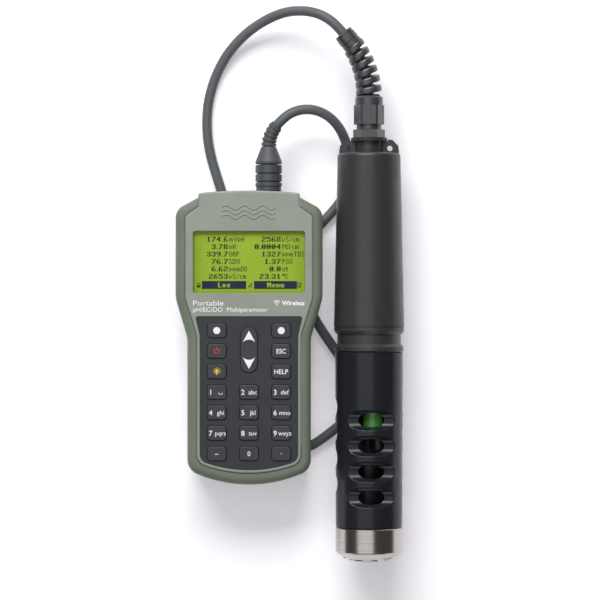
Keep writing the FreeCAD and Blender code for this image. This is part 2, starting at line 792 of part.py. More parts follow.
# ------------------------------------------------------------------ probe
def make_tube_and_cap():
    """Probe tube, its top cap with two eyelet lugs, and the board inside."""
    foot, top, wall = dim("tube_wide") / 2, dim("tube_narrow") / 2, dim("tube_wall")
    tube = turned("probe_tube", PROBE, [
        (foot - wall, dim("neck_top")), (foot - 1.4, dim("neck_top")),
        (foot - 0.15, dim("neck_top") + 2.0), (foot - 0.15, dim("neck_top") + 4.3),
        (foot - 0.45, dim("neck_top") + 4.4), (foot - 0.45, dim("neck_top") + 4.7),
        (foot, dim("neck_top") + 4.8), (top, dim("tube_top")), (14.0, dim("tube_top")),
        (14.0, dim("tube_top") - wall), (top - wall, dim("tube_top") - wall),
    ])
    fillet(tube, 2.4, lambda edge: at_level(dim("tube_top"), "y")(edge) and edge.BoundBox.XMax > 17)

    cap = new_body("top_cap", PROBE)
    neck = dim("neck_wide") / 2
    revolve(cap, [
        (5.0, dim("tube_top") - 5.0), (13.8, dim("tube_top") - 5.0), (13.8, dim("tube_top") - 0.1),
        (neck, dim("tube_top") + 0.1), (neck, dim("gland_foot")), (5.0, dim("gland_foot")),
    ])
    sketch = new_sketch(cap, lift=-dim("ear_thick") / 2)
    half = dim("ear_wide") / 2
    for side in (-1, 1):
        inner, outer = side * (dim("ear_x") - half + 0.9), side * (dim("ear_x") + half + 0.5)
        step = side * (dim("washer_wide") / 2 + 0.5)
        corners = [
            (inner, dim("tube_top") + 0.05), (outer, dim("tube_top") + 0.05),
            (outer - side * 0.7, dim("tube_top") + 4.4), (outer - side * 4.2, dim("ear_top") - 0.5),
            (step, dim("ear_top")), (step, dim("gland_foot")), (inner, dim("gland_foot")),
        ]
        draw_loop(sketch, corners if side > 0 else corners[::-1])
    pad(cap, sketch, dim("ear_thick"))
    sketch = new_sketch(cap, lift=dim("ear_thick"))
    for side in (-1, 1):
        draw_circle(sketch, side * dim("ear_x"), 259.7, dim("eyelet"))
    pocket(cap, sketch, dim("ear_thick") * 2)

    board = new_body("probe_board", PROBE)
    sketch = new_sketch(board, lift=-0.8)
    draw_loop(sketch, box_corners(0.0, 199.0, 28.0, 96.0))
    pad(board, sketch, 1.6)
    sketch = new_sketch(board, lift=0.8)
    for y, wide in ((165.0, 14.0), (186.0, 10.0), (205.0, 18.0), (228.0, 9.0)):
        draw_loop(sketch, box_corners(0.0, y, wide, 9.0))
    pad(board, sketch, 2.0)


def sensor_spots():
    """Where the three sensors stand in the base: oxygen, pH and conductivity, as (x, z)."""
    ring, first = number_of(dim("sensor_ring")), number_of(dim("sensor_turn"))
    for step in range(3):
        angle = math.radians(first + 120.0 * step)
        yield ring * math.sin(angle), ring * math.cos(angle)


def make_base_and_sensors():
    """Sensor base with its flange, its seals, the sensors and the temperature pin."""
    flange, neck = dim("tube_wide") / 2 - 0.4, 20.05
    spigot = dim("shield_bore") / 2 - 0.3
    base = turned("probe_base", PROBE, [
        (0.0, dim("sensor_root")), (spigot, dim("sensor_root")), (spigot, 123.0), (15.6, 123.0),
        (15.6, 125.2), (spigot, 125.2), (spigot, 131.9), (flange - 0.5, 131.9), (flange, 132.4),
        (flange, 134.6), (flange - 1.6, dim("flange_top")), (neck, dim("flange_top")),
        (neck, dim("neck_top")), (19.6, dim("neck_top")), (19.6, 150.0), (18.0, 150.0),
        (18.0, 146.0), (0.0, 146.0),
    ])
    sketch = new_sketch(base, "XZ_Plane", -(dim("sensor_root") - 1.0))
    for x, z in sensor_spots():
        draw_circle(sketch, x, z, 10.2)
    draw_circle(sketch, 0.0, 0.0, 3.2)
    pocket(base, sketch, 14.0)
    turned("shield_seal", PROBE, [(15.7, 123.2), (17.15, 123.2), (17.15, 125.0), (15.7, 125.0)])
    turned("base_seal", PROBE, [(18.1, 150.05), (19.6, 150.05), (19.6, 151.6), (18.1, 151.6)])

    body, root = dim("sensor_wide") / 2, dim("sensor_root")
    oxygen, acidity, salinity = [
        (PROBE[0] + x, PROBE[1], PROBE[2] + z) for x, z in sensor_spots()
    ]
    turned("do_sensor", oxygen, [
        (0.0, 97.0), (6.0, 97.0), (body, 98.0), (body, root - 0.05), (5.0, root - 0.05),
        (5.0, 131.0), (0.0, 131.0),
    ])
    turned("do_cap", oxygen, [
        (0.0, 82.7), (4.6, 82.7), (5.8, 83.3), (6.5, 84.8), (6.6, 96.9), (0.0, 96.9),
    ])
    turned("ph_sensor", acidity, [
        (0.0, 58.0), (1.6, 58.2), (3.0, 59.3), (3.6, 61.0), (3.6, 68.0), (6.0, 70.0),
        (6.0, 96.0), (body, 97.0), (body, root - 0.05), (5.0, root - 0.05), (5.0, 131.0), (0.0, 131.0),
    ])
    turned("ec_sensor", salinity, [
        (0.0, 62.0), (5.6, 62.0), (6.2, 62.8), (6.2, 96.0), (body, 97.0), (body, root - 0.05),
        (5.0, root - 0.05), (5.0, 131.0), (0.0, 131.0),
    ])
    turned("temperature_pin", PROBE, [
        (0.0, 92.0), (1.0, 92.3), (1.5, 93.4), (1.5, 131.0), (0.0, 131.0),
    ])


def scoop_rim(edge):
    """A test for the outer rim of a scoop, which bends round the shield."""
    box = edge.BoundBox
    low = number_of(dim("scoop_first")) - number_of(dim("scoop_radius")) - 1.0
    top = number_of(dim("scoop_first")) + 4 * number_of(dim("scoop_pitch")) + 1.0
    outer = [math.hypot(point.x, point.z) for point in edge.discretize(5)]
    return box.YMin > low and box.YMax < top and min(outer) > number_of(dim("shield_wide")) / 2 - 0.8


def make_shield():
    """Screw-on sensor shield with three columns of water scoops, and its steel end ring."""
    wide, bore = dim("shield_wide") / 2, dim("shield_bore") / 2
    shield = turned("shield", PROBE, [
        (bore, 6.0), (19.6, 6.0), (19.6, dim("shield_foot")),
        (wide - 0.9, dim("shield_foot")), (wide - 0.4, dim("shield_foot") + 0.6),
        (wide, dim("shield_top") - 0.5), (wide - 0.5, dim("shield_top")), (bore, dim("shield_top")),
    ])
    for column in range(3):
        turn = dim("scoop_turn") + 120.0 * column
        sketch = new_sketch(shield, "YZ_Plane", turn=turn)
        for row in range(4):
            shift = 0.0 if column == 0 else 0.5
            height = dim("scoop_first") + dim("scoop_pitch") * (row + shift)
            draw_circle(sketch, height, wide, dim("scoop_radius") * 2)
        pocket(shield, sketch, dim("shield_wide"), both_ways=True)
    fillet(shield, dim("scoop_lip"), scoop_rim)

    rim = dim("ring_wide") / 2
    ring = turned("weight_ring", PROBE, [
        (10.6, 0.0), (12.0, 0.0), (12.3, 0.3), (12.3, 1.1), (15.3, 1.3), (rim - 0.4, 5.2),
        (rim, 5.8), (rim, dim("ring_tall") - 0.4), (rim - 0.4, dim("ring_tall")),
        (19.75, dim("ring_tall")), (19.75, 5.9), (10.6, 5.9),
    ])
    for notch in range(3):
        sketch = new_sketch(ring, "YZ_Plane", turn=dim("notch_turn") + 120.0 * notch)
        draw_loop(sketch, box_corners(dim("notch_deep") / 2 - 0.5, 13.0, dim("notch_deep") + 1.0, 8.0))
        pocket(ring, sketch, dim("notch_wide"), both_ways=True)


# ------------------------------------------------------------------ cable gland
def hexagon(across):
    """Corners of a hexagon with one corner to each side, from its corner-to-corner size."""
    radius = across / 2
    return [(radius * math.cos(math.radians(60 * step)), radius * math.sin(math.radians(60 * step)))
            for step in range(6)]


def make_gland():
    """Cable gland: body, washer, seal, domed nut and the bent spiral."""
    rim = dim("washer_wide") / 2
    turned("gland_washer", PROBE, [
        (5.1, dim("gland_foot") + 0.05), (rim, dim("gland_foot") + 0.05),
        (rim, dim("gland_foot") + 2.2), (5.1, dim("gland_foot") + 2.2),
    ])
    body = new_body("gland_body", PROBE)
    sketch = new_sketch(body, "XZ_Plane", -(dim("gland_foot") + 2.25))
    draw_loop(sketch, hexagon(20.0))
    pad(body, sketch, 5.3, reverse=True)
    chamfer(body, 0.5, at_level(dim("gland_foot") + 7.55, "y"))
    sketch = new_sketch(body, "XZ_Plane", -(dim("gland_foot") + 7.5))
    draw_circle(sketch, 0.0, 0.0, 15.6)
    pad(body, sketch, 3.0, reverse=True)
    sketch = new_sketch(body, "XZ_Plane", -(dim("gland_foot") + 10.5))
    draw_circle(sketch, 0.0, 0.0, 13.0)
    pad(body, sketch, 10.0, reverse=True)
    sketch = new_sketch(body, "XZ_Plane", -(dim("gland_foot") + 2.25))
    draw_circle(sketch, 0.0, 0.0, 9.4)
    pocket(body, sketch, 20.0)

    turned("gland_seal", PROBE, [
        (dim("cable_wide") / 2 + 0.15, 272.0), (4.6, 272.0), (4.6, 284.4),
        (dim("cable_wide") / 2 + 0.15, 284.4),
    ])

    nut = new_body("gland_nut", PROBE)
    revolve(nut, [
        (6.7, 274.8), (7.9, 274.8), (8.7, 275.4), (8.7, 291.6), (7.9, dim("spiral_foot")),
        (3.6, dim("spiral_foot")), (3.6, 285.4), (6.7, 285.4),
    ])
    sketch = new_sketch(nut, "XZ_Plane", -274.8)
    draw_loop(sketch, hexagon(20.0))
    draw_circle(sketch, 0.0, 0.0, 15.0)
    pad(nut, sketch, 12.1, reverse=True)
    chamfer(nut, 0.9, lambda edge: edge.BoundBox.YMax - edge.BoundBox.YMin > 11.5
            and math.hypot(edge.CenterOfMass.x, edge.CenterOfMass.z) > 9.5)


def spiral_tip():
    """Tip of the spiral's collar and the cable's heading there, about the probe axis."""
    bend, turn = number_of(dim("gland_bend")), math.radians(number_of(dim("gland_turn")))
    heading = Vector(-math.sin(turn), math.cos(turn), 0.0)
    end = Vector(-bend * (1.0 - math.cos(turn)),
                 number_of(dim("spiral_foot")) + bend * math.sin(turn), 0.0)
    return end, heading


def bent_rod(radius, height, bend, turn):
    """A round rod from a height on the axis, bent to the left about the probe."""
    start = Vector(0, height, 0)
    face = Part.Face(Part.Wire(Part.makeCircle(radius, start, Vector(0, 1, 0))))
    return face.revolve(start - Vector(bend, 0, 0), Vector(0, 0, 1), turn)


def make_spiral_and_lead():
    """The spiral's outer shape with the cable's way through it, and the cable inside it."""
    bend, turn = number_of(dim("gland_bend")), number_of(dim("gland_turn"))
    height, long = number_of(dim("spiral_foot")), number_of(dim("tip_long"))
    end, heading = spiral_tip()
    way = number_of(dim("cable_wide")) / 2 + 0.3
    coil = bent_rod(number_of(dim("spiral_wide")) / 2, height, bend, turn - 5.0)
    collar = Part.makeCylinder(number_of(dim("tip_wide")) / 2, 2 * long, end - heading * long, heading)
    hole = bent_rod(way, height, bend, turn)
    hole = hole.fuse(Part.makeCylinder(way, 2 * long, end - heading * 0.01, heading))
    spiral = doc.addObject("Part::Feature", "gland_spiral")
    spiral.Label = "gland_spiral"
    spiral.Shape = coil.fuse(collar).cut(hole).removeSplitter()
    place(spiral, PROBE)

    radius = number_of(dim("cable_wide")) / 2
    inside = Part.makeCylinder(radius, height - 262.0, Vector(0, 262.0, 0), Vector(0, 1, 0))
    inside = inside.fuse(bent_rod(radius, height, bend, turn))
    inside = inside.fuse(Part.makeCylinder(radius, long, end, heading))
    lead = doc.addObject("Part::Feature", "cable_lead")
    lead.Label = "cable_lead"
    lead.Shape = inside.removeSplitter()
    place(lead, PROBE)


# ------------------------------------------------------------------ cable
def cable_route():
    """Points of the cable, from the spiral's tip to the plug's strain relief."""
    end, heading = spiral_tip()
    origin = Vector(*map(number_of, PROBE))
    first = origin + end + heading * number_of(dim("tip_long"))
    spot, _ = relief_frame(1.0)
    last = Vector(*map(number_of, PLUG)) + spot
    floor = -25.5
    between = [
        (28.03, 170.87, 0.0), (18.8, 176.6, -2.2), (8.8, 179.0, -6.4), (-3.2, 178.6, -11.8),
        (-15.5, 173.8, -16.4), (-27.5, 166.0, -20.0), (-38.3, 154.9, -22.8), (-46.0, 142.0, -24.7),
        (-50.8, 128.5, floor), (-52.9, 115.5, floor), (-52.8, 101.0, floor), (-50.6, 88.0, floor),
        (-47.2, 76.5, floor), (-42.6, 62.5, floor), (-38.9, 38.0, floor), (-37.6, 8.0, floor),
        (-37.4, -24.0, floor), (-33.0, -58.0, floor), (-24.0, -86.0, floor), (-16.8, -94.3, floor),
        (-7.0, -99.3, floor), (4.0, -100.3, floor), (14.5, -97.1, floor), (27.0, -88.0, floor),
        (35.7, -80.4, floor), (40.9, -71.2, floor), (42.2, -60.8, floor), (39.5, -50.6, floor),
        (28.8, -36.0, floor), (16.5, -17.8, floor), (6.5, 2.1, floor), (4.6, 19.7, floor),
        (9.5, 32.5, floor), (19.0, 43.5, floor), (28.2, 53.1, floor), (35.3, 62.9, floor),
        (39.1, 74.2, -24.9), (37.9, 86.5, -21.8), (35.8, 96.3, -17.2), (31.6, 105.2, -12.8),
        (25.0, 112.2, -9.0), (16.6, 116.1, -6.2), (8.6, 116.5, -4.8), (1.8, 114.6, -4.2),
        (-4.02, 110.76, -4.15),
    ]
    return [first] + [Vector(*spot) for spot in between] + [last]


def make_cable():
    """The cable: straight runs joined by tangent arcs."""
    route = cable_route()
    radii, edges, at = [], [], route[0]
    for before, corner, after in zip(route, route[1:], route[2:]):
        back, on = before - corner, after - corner
        half_turn = (math.pi - back.getAngle(on)) / 2
        setback = 0.45 * min(back.Length, on.Length)
        radius = setback / math.tan(half_turn)
        radii.append(radius)
        start = corner + Vector(back).normalize() * setback
        finish = corner + Vector(on).normalize() * setback
        inwards = (Vector(back).normalize() + Vector(on).normalize()).normalize()
        middle = corner + inwards * (radius / math.cos(half_turn) - radius)
        edges.append(Part.LineSegment(at, start).toShape())
        edges.append(Part.Arc(start, middle, finish).toShape())
        at = finish
    edges.append(Part.LineSegment(at, route[-1]).toShape())
    path = Part.Wire(edges)
    radius = number_of(dim("cable_wide")) / 2
    ring = Part.Wire(Part.makeCircle(radius, route[0], route[1] - route[0]))
    cable = doc.addObject("Part::Feature", "cable")
    cable.Label = "cable"
    cable.Shape = path.makePipeShell([ring], True, False)
    whole = math.pi * radius ** 2 * path.Length
    print(f"cable {path.Length:.1f} mm, volume over section times length "
          f"{cable.Shape.Volume / whole:.4f}, smallest bend radii "
          f"{[round(number, 1) for number in sorted(radii)[:6]]}")


make_meter_face()
make_meter_back()
make_meter_bumper()
make_case_seal()
make_screws("case_screws", SCREW_SPOTS, 1.2, 5.6, 1.6, 2.8, 20.0)
make_battery_bay()
make_boards()
make_display_window()
make_keypad()
make_plug()
make_strain_relief()
make_tube_and_cap()
make_base_and_sensors()
make_shield()
make_gland()
make_spiral_and_lead()
make_cable()

# ------------------------------------------------------------------ check and write
doc.recompute()
for item in doc.Objects:
    if "Invalid" in item.State or "Error" in item.State:
        raise RuntimeError(f"{item.Label} failed: {item.State}")
sub_parts = [item for item in doc.Objects
             if item.isDerivedFrom("PartDesign::Body") or item.TypeId == "Part::Feature"]
for item in sub_parts:
    if item.Shape.isNull() or not item.Shape.isValid():
        raise RuntimeError(f"{item.Label} has no valid shape")
os.makedirs("parts", exist_ok=True)
for item in sub_parts:
    item.Shape.exportStep(f"parts/{item.Label}.step")
print(f"{len(sub_parts)} sub-parts written")
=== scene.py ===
"""Studio scene of a hand-held water quality meter and its cabled multi-sensor probe.

The CAD frame gives the rigid parts. This script dresses them in their plastics, rubbers and
metals, and builds what the frame leaves out: the cable, the spiral guard on the probe's gland,
the readings on the display, the key legends and the printed words. Lengths are in metres.
"""

import json
import logging
import math
from dataclasses import dataclass
from enum import Enum
from typing import Any, Callable, Optional, Sequence

import bmesh
import bpy
import numpy as np
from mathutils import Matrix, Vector


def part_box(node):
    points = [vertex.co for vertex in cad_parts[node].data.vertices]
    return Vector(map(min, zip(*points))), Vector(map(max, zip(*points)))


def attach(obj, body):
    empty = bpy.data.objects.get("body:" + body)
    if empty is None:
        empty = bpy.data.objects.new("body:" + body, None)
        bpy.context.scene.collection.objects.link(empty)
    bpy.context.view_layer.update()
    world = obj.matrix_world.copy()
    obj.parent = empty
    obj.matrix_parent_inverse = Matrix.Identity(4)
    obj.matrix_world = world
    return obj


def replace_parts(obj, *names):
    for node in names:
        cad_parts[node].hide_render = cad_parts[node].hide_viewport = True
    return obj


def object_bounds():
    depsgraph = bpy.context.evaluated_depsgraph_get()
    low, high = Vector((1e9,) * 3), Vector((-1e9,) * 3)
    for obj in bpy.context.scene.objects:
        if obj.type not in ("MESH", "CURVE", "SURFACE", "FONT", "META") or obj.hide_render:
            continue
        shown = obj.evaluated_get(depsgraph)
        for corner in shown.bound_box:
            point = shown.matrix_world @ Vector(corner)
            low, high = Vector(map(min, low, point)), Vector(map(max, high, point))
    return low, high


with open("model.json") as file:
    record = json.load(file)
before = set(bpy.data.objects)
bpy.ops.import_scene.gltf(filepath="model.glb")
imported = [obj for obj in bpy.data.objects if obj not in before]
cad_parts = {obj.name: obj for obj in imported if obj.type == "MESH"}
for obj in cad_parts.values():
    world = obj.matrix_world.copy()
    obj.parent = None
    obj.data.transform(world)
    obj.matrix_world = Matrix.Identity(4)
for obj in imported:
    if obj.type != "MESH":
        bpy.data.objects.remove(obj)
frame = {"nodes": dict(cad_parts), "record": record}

logging.basicConfig(level=logging.INFO, format="%(message)s")
log = logging.getLogger("water_quality_probe")

BOX_AT_LOAD = [list(corner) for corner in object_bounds()]
MM = 0.001
BODY = "instrument"
METER_X = -25.5 * MM  # The meter's middle line.
PROBE_X, PROBE_Y = 50.0 * MM, -168.3 * MM  # The probe's axis and its lower end.
SUNK = 0.02 * MM  # How far print reaches into the surface under it.
RAISED = 0.03 * MM  # How far print stands over that surface.

Point = tuple[float, float, float]
Colour = tuple[float, float, float, float]
Socket = bpy.types.NodeSocket


# ------------------------------------------------------------------ meshes
@dataclass
class Shape:
    """A closed surface held as arrays.

    Args:
        points: One row of x, y, z per vertex.
        faces: One row of vertex numbers per triangle.
    """

    points: np.ndarray
    faces: np.ndarray

    def moved(self, x: float = 0.0, y: float = 0.0, z: float = 0.0) -> "Shape":
        """The same surface, shifted."""
        return Shape(self.points + np.array((x, y, z)), self.faces)

    def mirrored(self) -> "Shape":
        """The same surface turned half round about Z, through the origin."""
        return Shape(self.points * np.array((-1.0, -1.0, 1.0)), self.faces)


def joined(shapes: Sequence[Shape]) -> Shape:
    """Several surfaces as one.

    Args:
        shapes: The surfaces, which may lie apart.

    Returns:
        One surface, whose face numbers are each shape's own plus the vertices before it.
    """
    starts = np.cumsum([0] + [len(shape.points) for shape in shapes[:-1]])
    return Shape(
        np.concatenate([shape.points for shape in shapes]),
        np.concatenate([shape.faces + start for shape, start in zip(shapes, starts)]),
    )


def lattice_faces(rows: int, columns: int, round_rows: bool, round_columns: bool) -> np.ndarray:
    """Triangles between the points of a grid.

    Args:
        rows: Points along the first parameter.
        columns: Points along the second parameter.
        round_rows: Whether the last row meets the first.
        round_columns: Whether the last column meets the first.

    Returns:
        Two triangles for each cell, with the four corners found by index arithmetic.
    """
    row = np.arange(rows if round_rows else rows - 1)[:, None]
    column = np.arange(columns if round_columns else columns - 1)[None, :]
    below, above = row * columns, (row + 1) % rows * columns
    right = (column + 1) % columns
    a, b, c, d = (part.ravel() for part in (below + column, below + right, above + right, above + column))
    return np.concatenate([np.stack([a, b, c], 1), np.stack([a, c, d], 1)])


def swept(grid: np.ndarray) -> Shape:
    """A closed solid from a round section carried along a path.

    Args:
        grid: Points by step along the path and by corner of the section.

    Returns:
        The tube between the sections, with each end closed by a fan from its first corner.
    """
    rows, columns = grid.shape[:2]
    corner = np.arange(1, columns - 1)
    ends = [np.stack([start + 0 * corner, start + corner, start + corner + 1], 1)
            for start in (0, (rows - 1) * columns)]
    return Shape(grid.reshape(-1, 3), np.concatenate([lattice_faces(rows, columns, False, True), *ends]))


def plate(outline: np.ndarray, low: float, high: float) -> Shape:
    """A flat plate with a star-shaped outline.

    Args:
        outline: Corners x, y, anticlockwise.
        low: Height of the underside.
        high: Height of the top.

    Returns:
        The outline at both heights, joined by walls, each face a fan about the outline's middle.
    """
    count = len(outline)
    heights = np.full((count, 1), low), np.full((count, 1), high)
    rings = [np.hstack([outline, height]) for height in heights]
    middle = outline.mean(0)
    hubs = np.array([[*middle, low], [*middle, high]])
    here = np.arange(count)
    there = (here + 1) % count
    faces = np.concatenate([
        np.stack([here, there, there + count], 1),
        np.stack([here, there + count, here + count], 1),
        np.stack([there, here, np.full(count, 2 * count)], 1),
        np.stack([here + count, there + count, np.full(count, 2 * count + 1)], 1),
    ])
    return Shape(np.concatenate([*rings, hubs]), faces)


def disc(radius: float, x: float, y: float, low: float, high: float, sides: int = 40) -> Shape:
    """A round plate.

    Args:
        radius: Of its outline.
        x: Its centre's place along X.
        y: Its centre's place along Y.
        low: Height of the underside.
        high: Height of the top.
        sides: Corners of the outline.

    Returns:
        A plate on the circle radius times (cos a, sin a), with a from nought to a full turn.
    """
    turn = np.linspace(0.0, 2 * np.pi, sides, endpoint=False)
    return plate(np.stack([x + radius * np.cos(turn), y + radius * np.sin(turn)], 1), low, high)


def bar(x: float, y: float, wide: float, tall: float, low: float, high: float, turn: float = 0.0) -> Shape:
    """A rectangular plate.

    Args:
        x: Its centre's place along X.
        y: Its centre's place along Y.
        wide: Its width before it is turned.
        tall: Its length before it is turned.
        low: Height of the underside.
        high: Height of the top.
        turn: How far it is turned clockwise, in radians.

    Returns:
        A plate on the four corners (plus or minus half the width, plus or minus half the
        length), turned about their middle and shifted to the centre.
    """
    corners = np.array([[-wide, -tall], [wide, -tall], [wide, tall], [-wide, tall]]) / 2
    spin = np.array([[math.cos(turn), math.sin(turn)], [-math.sin(turn), math.cos(turn)]])
    return plate(corners @ spin + np.array((x, y)), low, high)


def band_arc(radius: float, wide: float, start: float, end: float, low: float, high: float) -> Shape:
    """A flat strip along an arc.

    Args:
        radius: Of the strip's middle line.
        wide: Width of the strip.
        start: First angle, in degrees from the X axis.
        end: Last angle.
        low: Height of the underside.
        high: Height of the top.

    Returns:
        A rectangle (radius plus or minus half the width, low to high) swept through the arc.
    """
    steps = 36
    angle = np.radians(np.linspace(start, end, steps))[:, None]
    inner, outer = radius - wide / 2, radius + wide / 2
    around, height = np.array([inner, outer, outer, inner]), np.array([low, low, high, high])
    points = np.stack([around * np.cos(angle), around * np.sin(angle), height + 0 * angle], 2)
    return swept(points)


def piece(name: str, shape: Shape, material: bpy.types.Material, body: str,
          smooth: Optional[float] = None) -> bpy.types.Object:
    """Make an object of a surface and let it ride.

    Args:
        name: The piece's name.
        shape: Its surface.
        material: Its finish.
        body: The CAD body that carries it.
        smooth: Shade smooth across edges that turn by less than this angle in degrees.

    Returns:
        The object, at the origin, with its place in its mesh and its faces outwards.
    """
    mesh = bpy.data.meshes.new(name)
    mesh.from_pydata(shape.points.tolist(), [], shape.faces.tolist())
    form = bmesh.new()
    form.from_mesh(mesh)
    bmesh.ops.remove_doubles(form, verts=form.verts, dist=1e-7)
    bmesh.ops.recalc_face_normals(form, faces=form.faces)
    form.to_mesh(mesh)
    form.free()
    if smooth is not None:
        mesh.polygons.foreach_set("use_smooth", np.ones(len(mesh.polygons), bool))
        mesh.set_sharp_from_angle(angle=math.radians(smooth))
    mesh.materials.append(material)
    made = bpy.data.objects.new(name, mesh)
    bpy.context.scene.collection.objects.link(made)
    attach(made, body)
    log.info("%s: %d triangles on %s", name, len(mesh.polygons), body)
    return made


# ------------------------------------------------------------------ lettering
class Align(Enum):
    """Where a line of words stands about its given place."""

    LEFT = 0.0
    CENTRE = 0.5
    RIGHT = 1.0


def words(text: str, tall: float, low: float, high: float, bold: float = 0.0,
          wide: Optional[float] = None, align: Align = Align.CENTRE) -> Shape:
    """Printed words as a thin solid standing at the origin.

    Args:
        text: The words.
        tall: Height of a capital.
        low: Height of the underside.
        high: Height of the top.
        bold: How far the strokes are swollen, as a share of the letter size.
        wide: Width of the whole line, if it is set.
        align: Whether the line starts, stands or ends at the origin.

    Returns:
        The letters, with the capitals' middle line on the X axis.
    """
    curve = bpy.data.curves.new("words", "FONT")
    curve.body, curve.offset, curve.extrude, curve.resolution_u = text, bold, 0.5, 4
    thing = bpy.data.objects.new("words", curve)
    bpy.context.scene.collection.objects.link(thing)
    bpy.context.view_layer.update()
    mesh = bpy.data.meshes.new_from_object(thing.evaluated_get(bpy.context.evaluated_depsgraph_get()))
    mesh.calc_loop_triangles()
    points = np.empty(len(mesh.vertices) * 3)
    mesh.vertices.foreach_get("co", points)
    points = points.reshape(-1, 3)
    faces = np.empty(len(mesh.loop_triangles) * 3, int)
    mesh.loop_triangles.foreach_get("vertices", faces)
    bpy.data.objects.remove(thing)
    bpy.data.curves.remove(curve)
    bpy.data.meshes.remove(mesh)
    capital = 0.729  # A capital's height as a share of the letter size.
    size = tall / capital
    left, right = points[:, 0].min(), points[:, 0].max()
    across = (points[:, 0] - left) / (right - left) - align.value
    points = np.stack([
        across * (wide if wide is not None else (right - left) * size),
        (points[:, 1] - capital / 2) * size,
        low + (points[:, 2] + 0.5) * (high - low),
    ], 1)
    return Shape(points, faces.reshape(-1, 3))


class DotFont:
    """The display's own letters, drawn as rows of square dots, seven dots tall."""

    MIDDLE_ROW = 3.0
    BLOCK = 0.99  # Side of a dot as a share of the pitch.
    GLYPHS = {
        "0": ".###. #...# #..## #.#.# ##..# #...# .###.",
        "1": "..#.. .##.. ..#.. ..#.. ..#.. ..#.. .###.",
        "2": ".###. #...# ....# ..##. .#... #.... #####",
        "3": ".###. #...# ....# ..##. ....# #...# .###.",
        "4": "...#. ..##. .#.#. #..#. ##### ...#. ...#.",
        "5": "##### #.... ####. ....# ....# #...# .###.",
        "6": "..##. .#... #.... ####. #...# #...# .###.",
        "7": "##### ....# ...#. ..#.. ..#.. .#... .#...",
        "8": ".###. #...# #...# .###. #...# #...# .###.",
        "9": ".###. #...# #...# .#### ....# ...#. .##..",
        ".": ". . . . . . #",
        "/": "...# ...# ..#. ..#. .#.. .#.. #...",
        "%": "##..# ##..# ...#. ..#.. .#... #..## #..##",
        "°": "### #.# ### ... ... ... ...",
        "·": ". . . # . . .",
        "C": ".##. #..# #... #... #... #..# .##.",
        "D": "###. #..# #..# #..# #..# #..# ###.",
        "H": "#..# #..# #..# #### #..# #..# #..#",
        "L": "#... #... #... #... #... #... ####",
        "M": "#...# ##.## #.#.# #.#.# #...# #...# #...#",
        "O": ".##. #..# #..# #..# #..# #..# .##.",
        "P": "###. #..# #..# ###. #... #... #...",
        "R": "###. #..# #..# ###. #.#. #..# #..#",
        "S": ".### #... #... .##. ...# ...# ###.",
        "T": "##### ..#.. ..#.. ..#.. ..#.. ..#.. ..#..",
        "U": "#..# #..# #..# #..# #..# #..# .##.",
        "V": "#...# #...# #...# .#.#. .#.#. ..#.. ..#..",
        "Ω": ".###. #...# #...# #...# .#.#. .#.#. ##.##",
        "c": "... ... .## #.. #.. #.. .##",
        "e": ".... .... .##. #..# #### #... .###",
        "g": ".... .... .### #..# .### ...# ###.",
        "m": "..... ..... ####. #.#.# #.#.# #.#.# #.#.#",
        "n": ".... .... ###. #..# #..# #..# #..#",
        "o": ".... .... .##. #..# #..# #..# .##.",
        "p": ".... .... ###. #..# #..# ###. #...",
        "t": ".#. .#. ### .#. .#. .#. .##",
        "u": ".... .... #..# #..# #..# #..# .###",
        "µ": ".... .... #..# #..# #..# ###. #...",
        "σ": ".... .... .### #..# #..# #..# .##.",
        "battery": "..#.. ##### #...# #...# ##### ##### #####",
        "link": "....# ....# ..#.# ..#.# #.#.# #.#.# #.#.#",
        "page": "####. #..## #...# #.#.# #...# #.#.# #####",
    }

    def __init__(self, pitch: float) -> None:
        """Set the distance between dots."""
        self.pitch = pitch

    def rows(self, glyph: str, bold: bool) -> np.ndarray:
        """The lit dots of a glyph.

        Args:
            glyph: Its name in GLYPHS.
            bold: Whether each stroke is one dot wider.

        Returns:
            A grid of truths, by row from the top and by column from the left.
        """
        lit = np.array([[dot == "#" for dot in row] for row in self.GLYPHS[glyph].split()])
        if not bold:
            return lit
        blank = np.zeros((len(lit), 1), bool)
        return np.hstack([lit, blank]) | np.hstack([blank, lit])

    def line(self, glyphs: Sequence[str], x: float, y: float, low: float, high: float,
             bold: bool = False, align: Align = Align.LEFT) -> Shape:
        """Set a line of glyphs as raised dots.

        Args:
            glyphs: The glyphs, in order.
            x: Where the line starts, stands or ends.
            y: The capitals' middle line.
            low: Height of the dots' underside.
            high: Height of their top.
            bold: Whether strokes are two dots wide.
            align: What x is.

        Returns:
            A square block per lit dot, at column times pitch and row times pitch, a little
            smaller than the pitch.
        """
        grids = [self.rows(glyph, bold) for glyph in glyphs]
        gap = np.zeros((len(grids[0]), 1), bool)
        lit = np.hstack([part for grid in grids for part in (grid, gap)][:-1])
        row, column = np.nonzero(lit)
        left = x - align.value * lit.shape[1] * self.pitch
        across, along = left + (column + 0.5) * self.pitch, y + (self.MIDDLE_ROW - row) * self.pitch
        centres = np.stack([across, along], 1)
        block = bar(0.0, 0.0, self.pitch * self.BLOCK, self.pitch * self.BLOCK, low, high)
        place = np.hstack([centres, np.zeros((len(centres), 1))])
        points = (block.points[None] + place[:, None]).reshape(-1, 3)
        starts = np.arange(len(centres))[:, None, None] * len(block.points)
        return Shape(points, (block.faces[None] + starts).reshape(-1, 3))


# ------------------------------------------------------------------ finishes
def linear(code: str) -> Colour:
    """A colour in linear light.

    Args:
        code: Six hexadecimal digits: red, green and blue.

    Returns:
        The colour by the sRGB curve, with full opacity.
    """
    share = np.array([int(code[index:index + 2], 16) / 255 for index in (0, 2, 4)])
    light = np.where(share <= 0.04045, share / 12.92, ((share + 0.055) / 1.055) ** 2.4)
    return (*light.tolist(), 1.0)


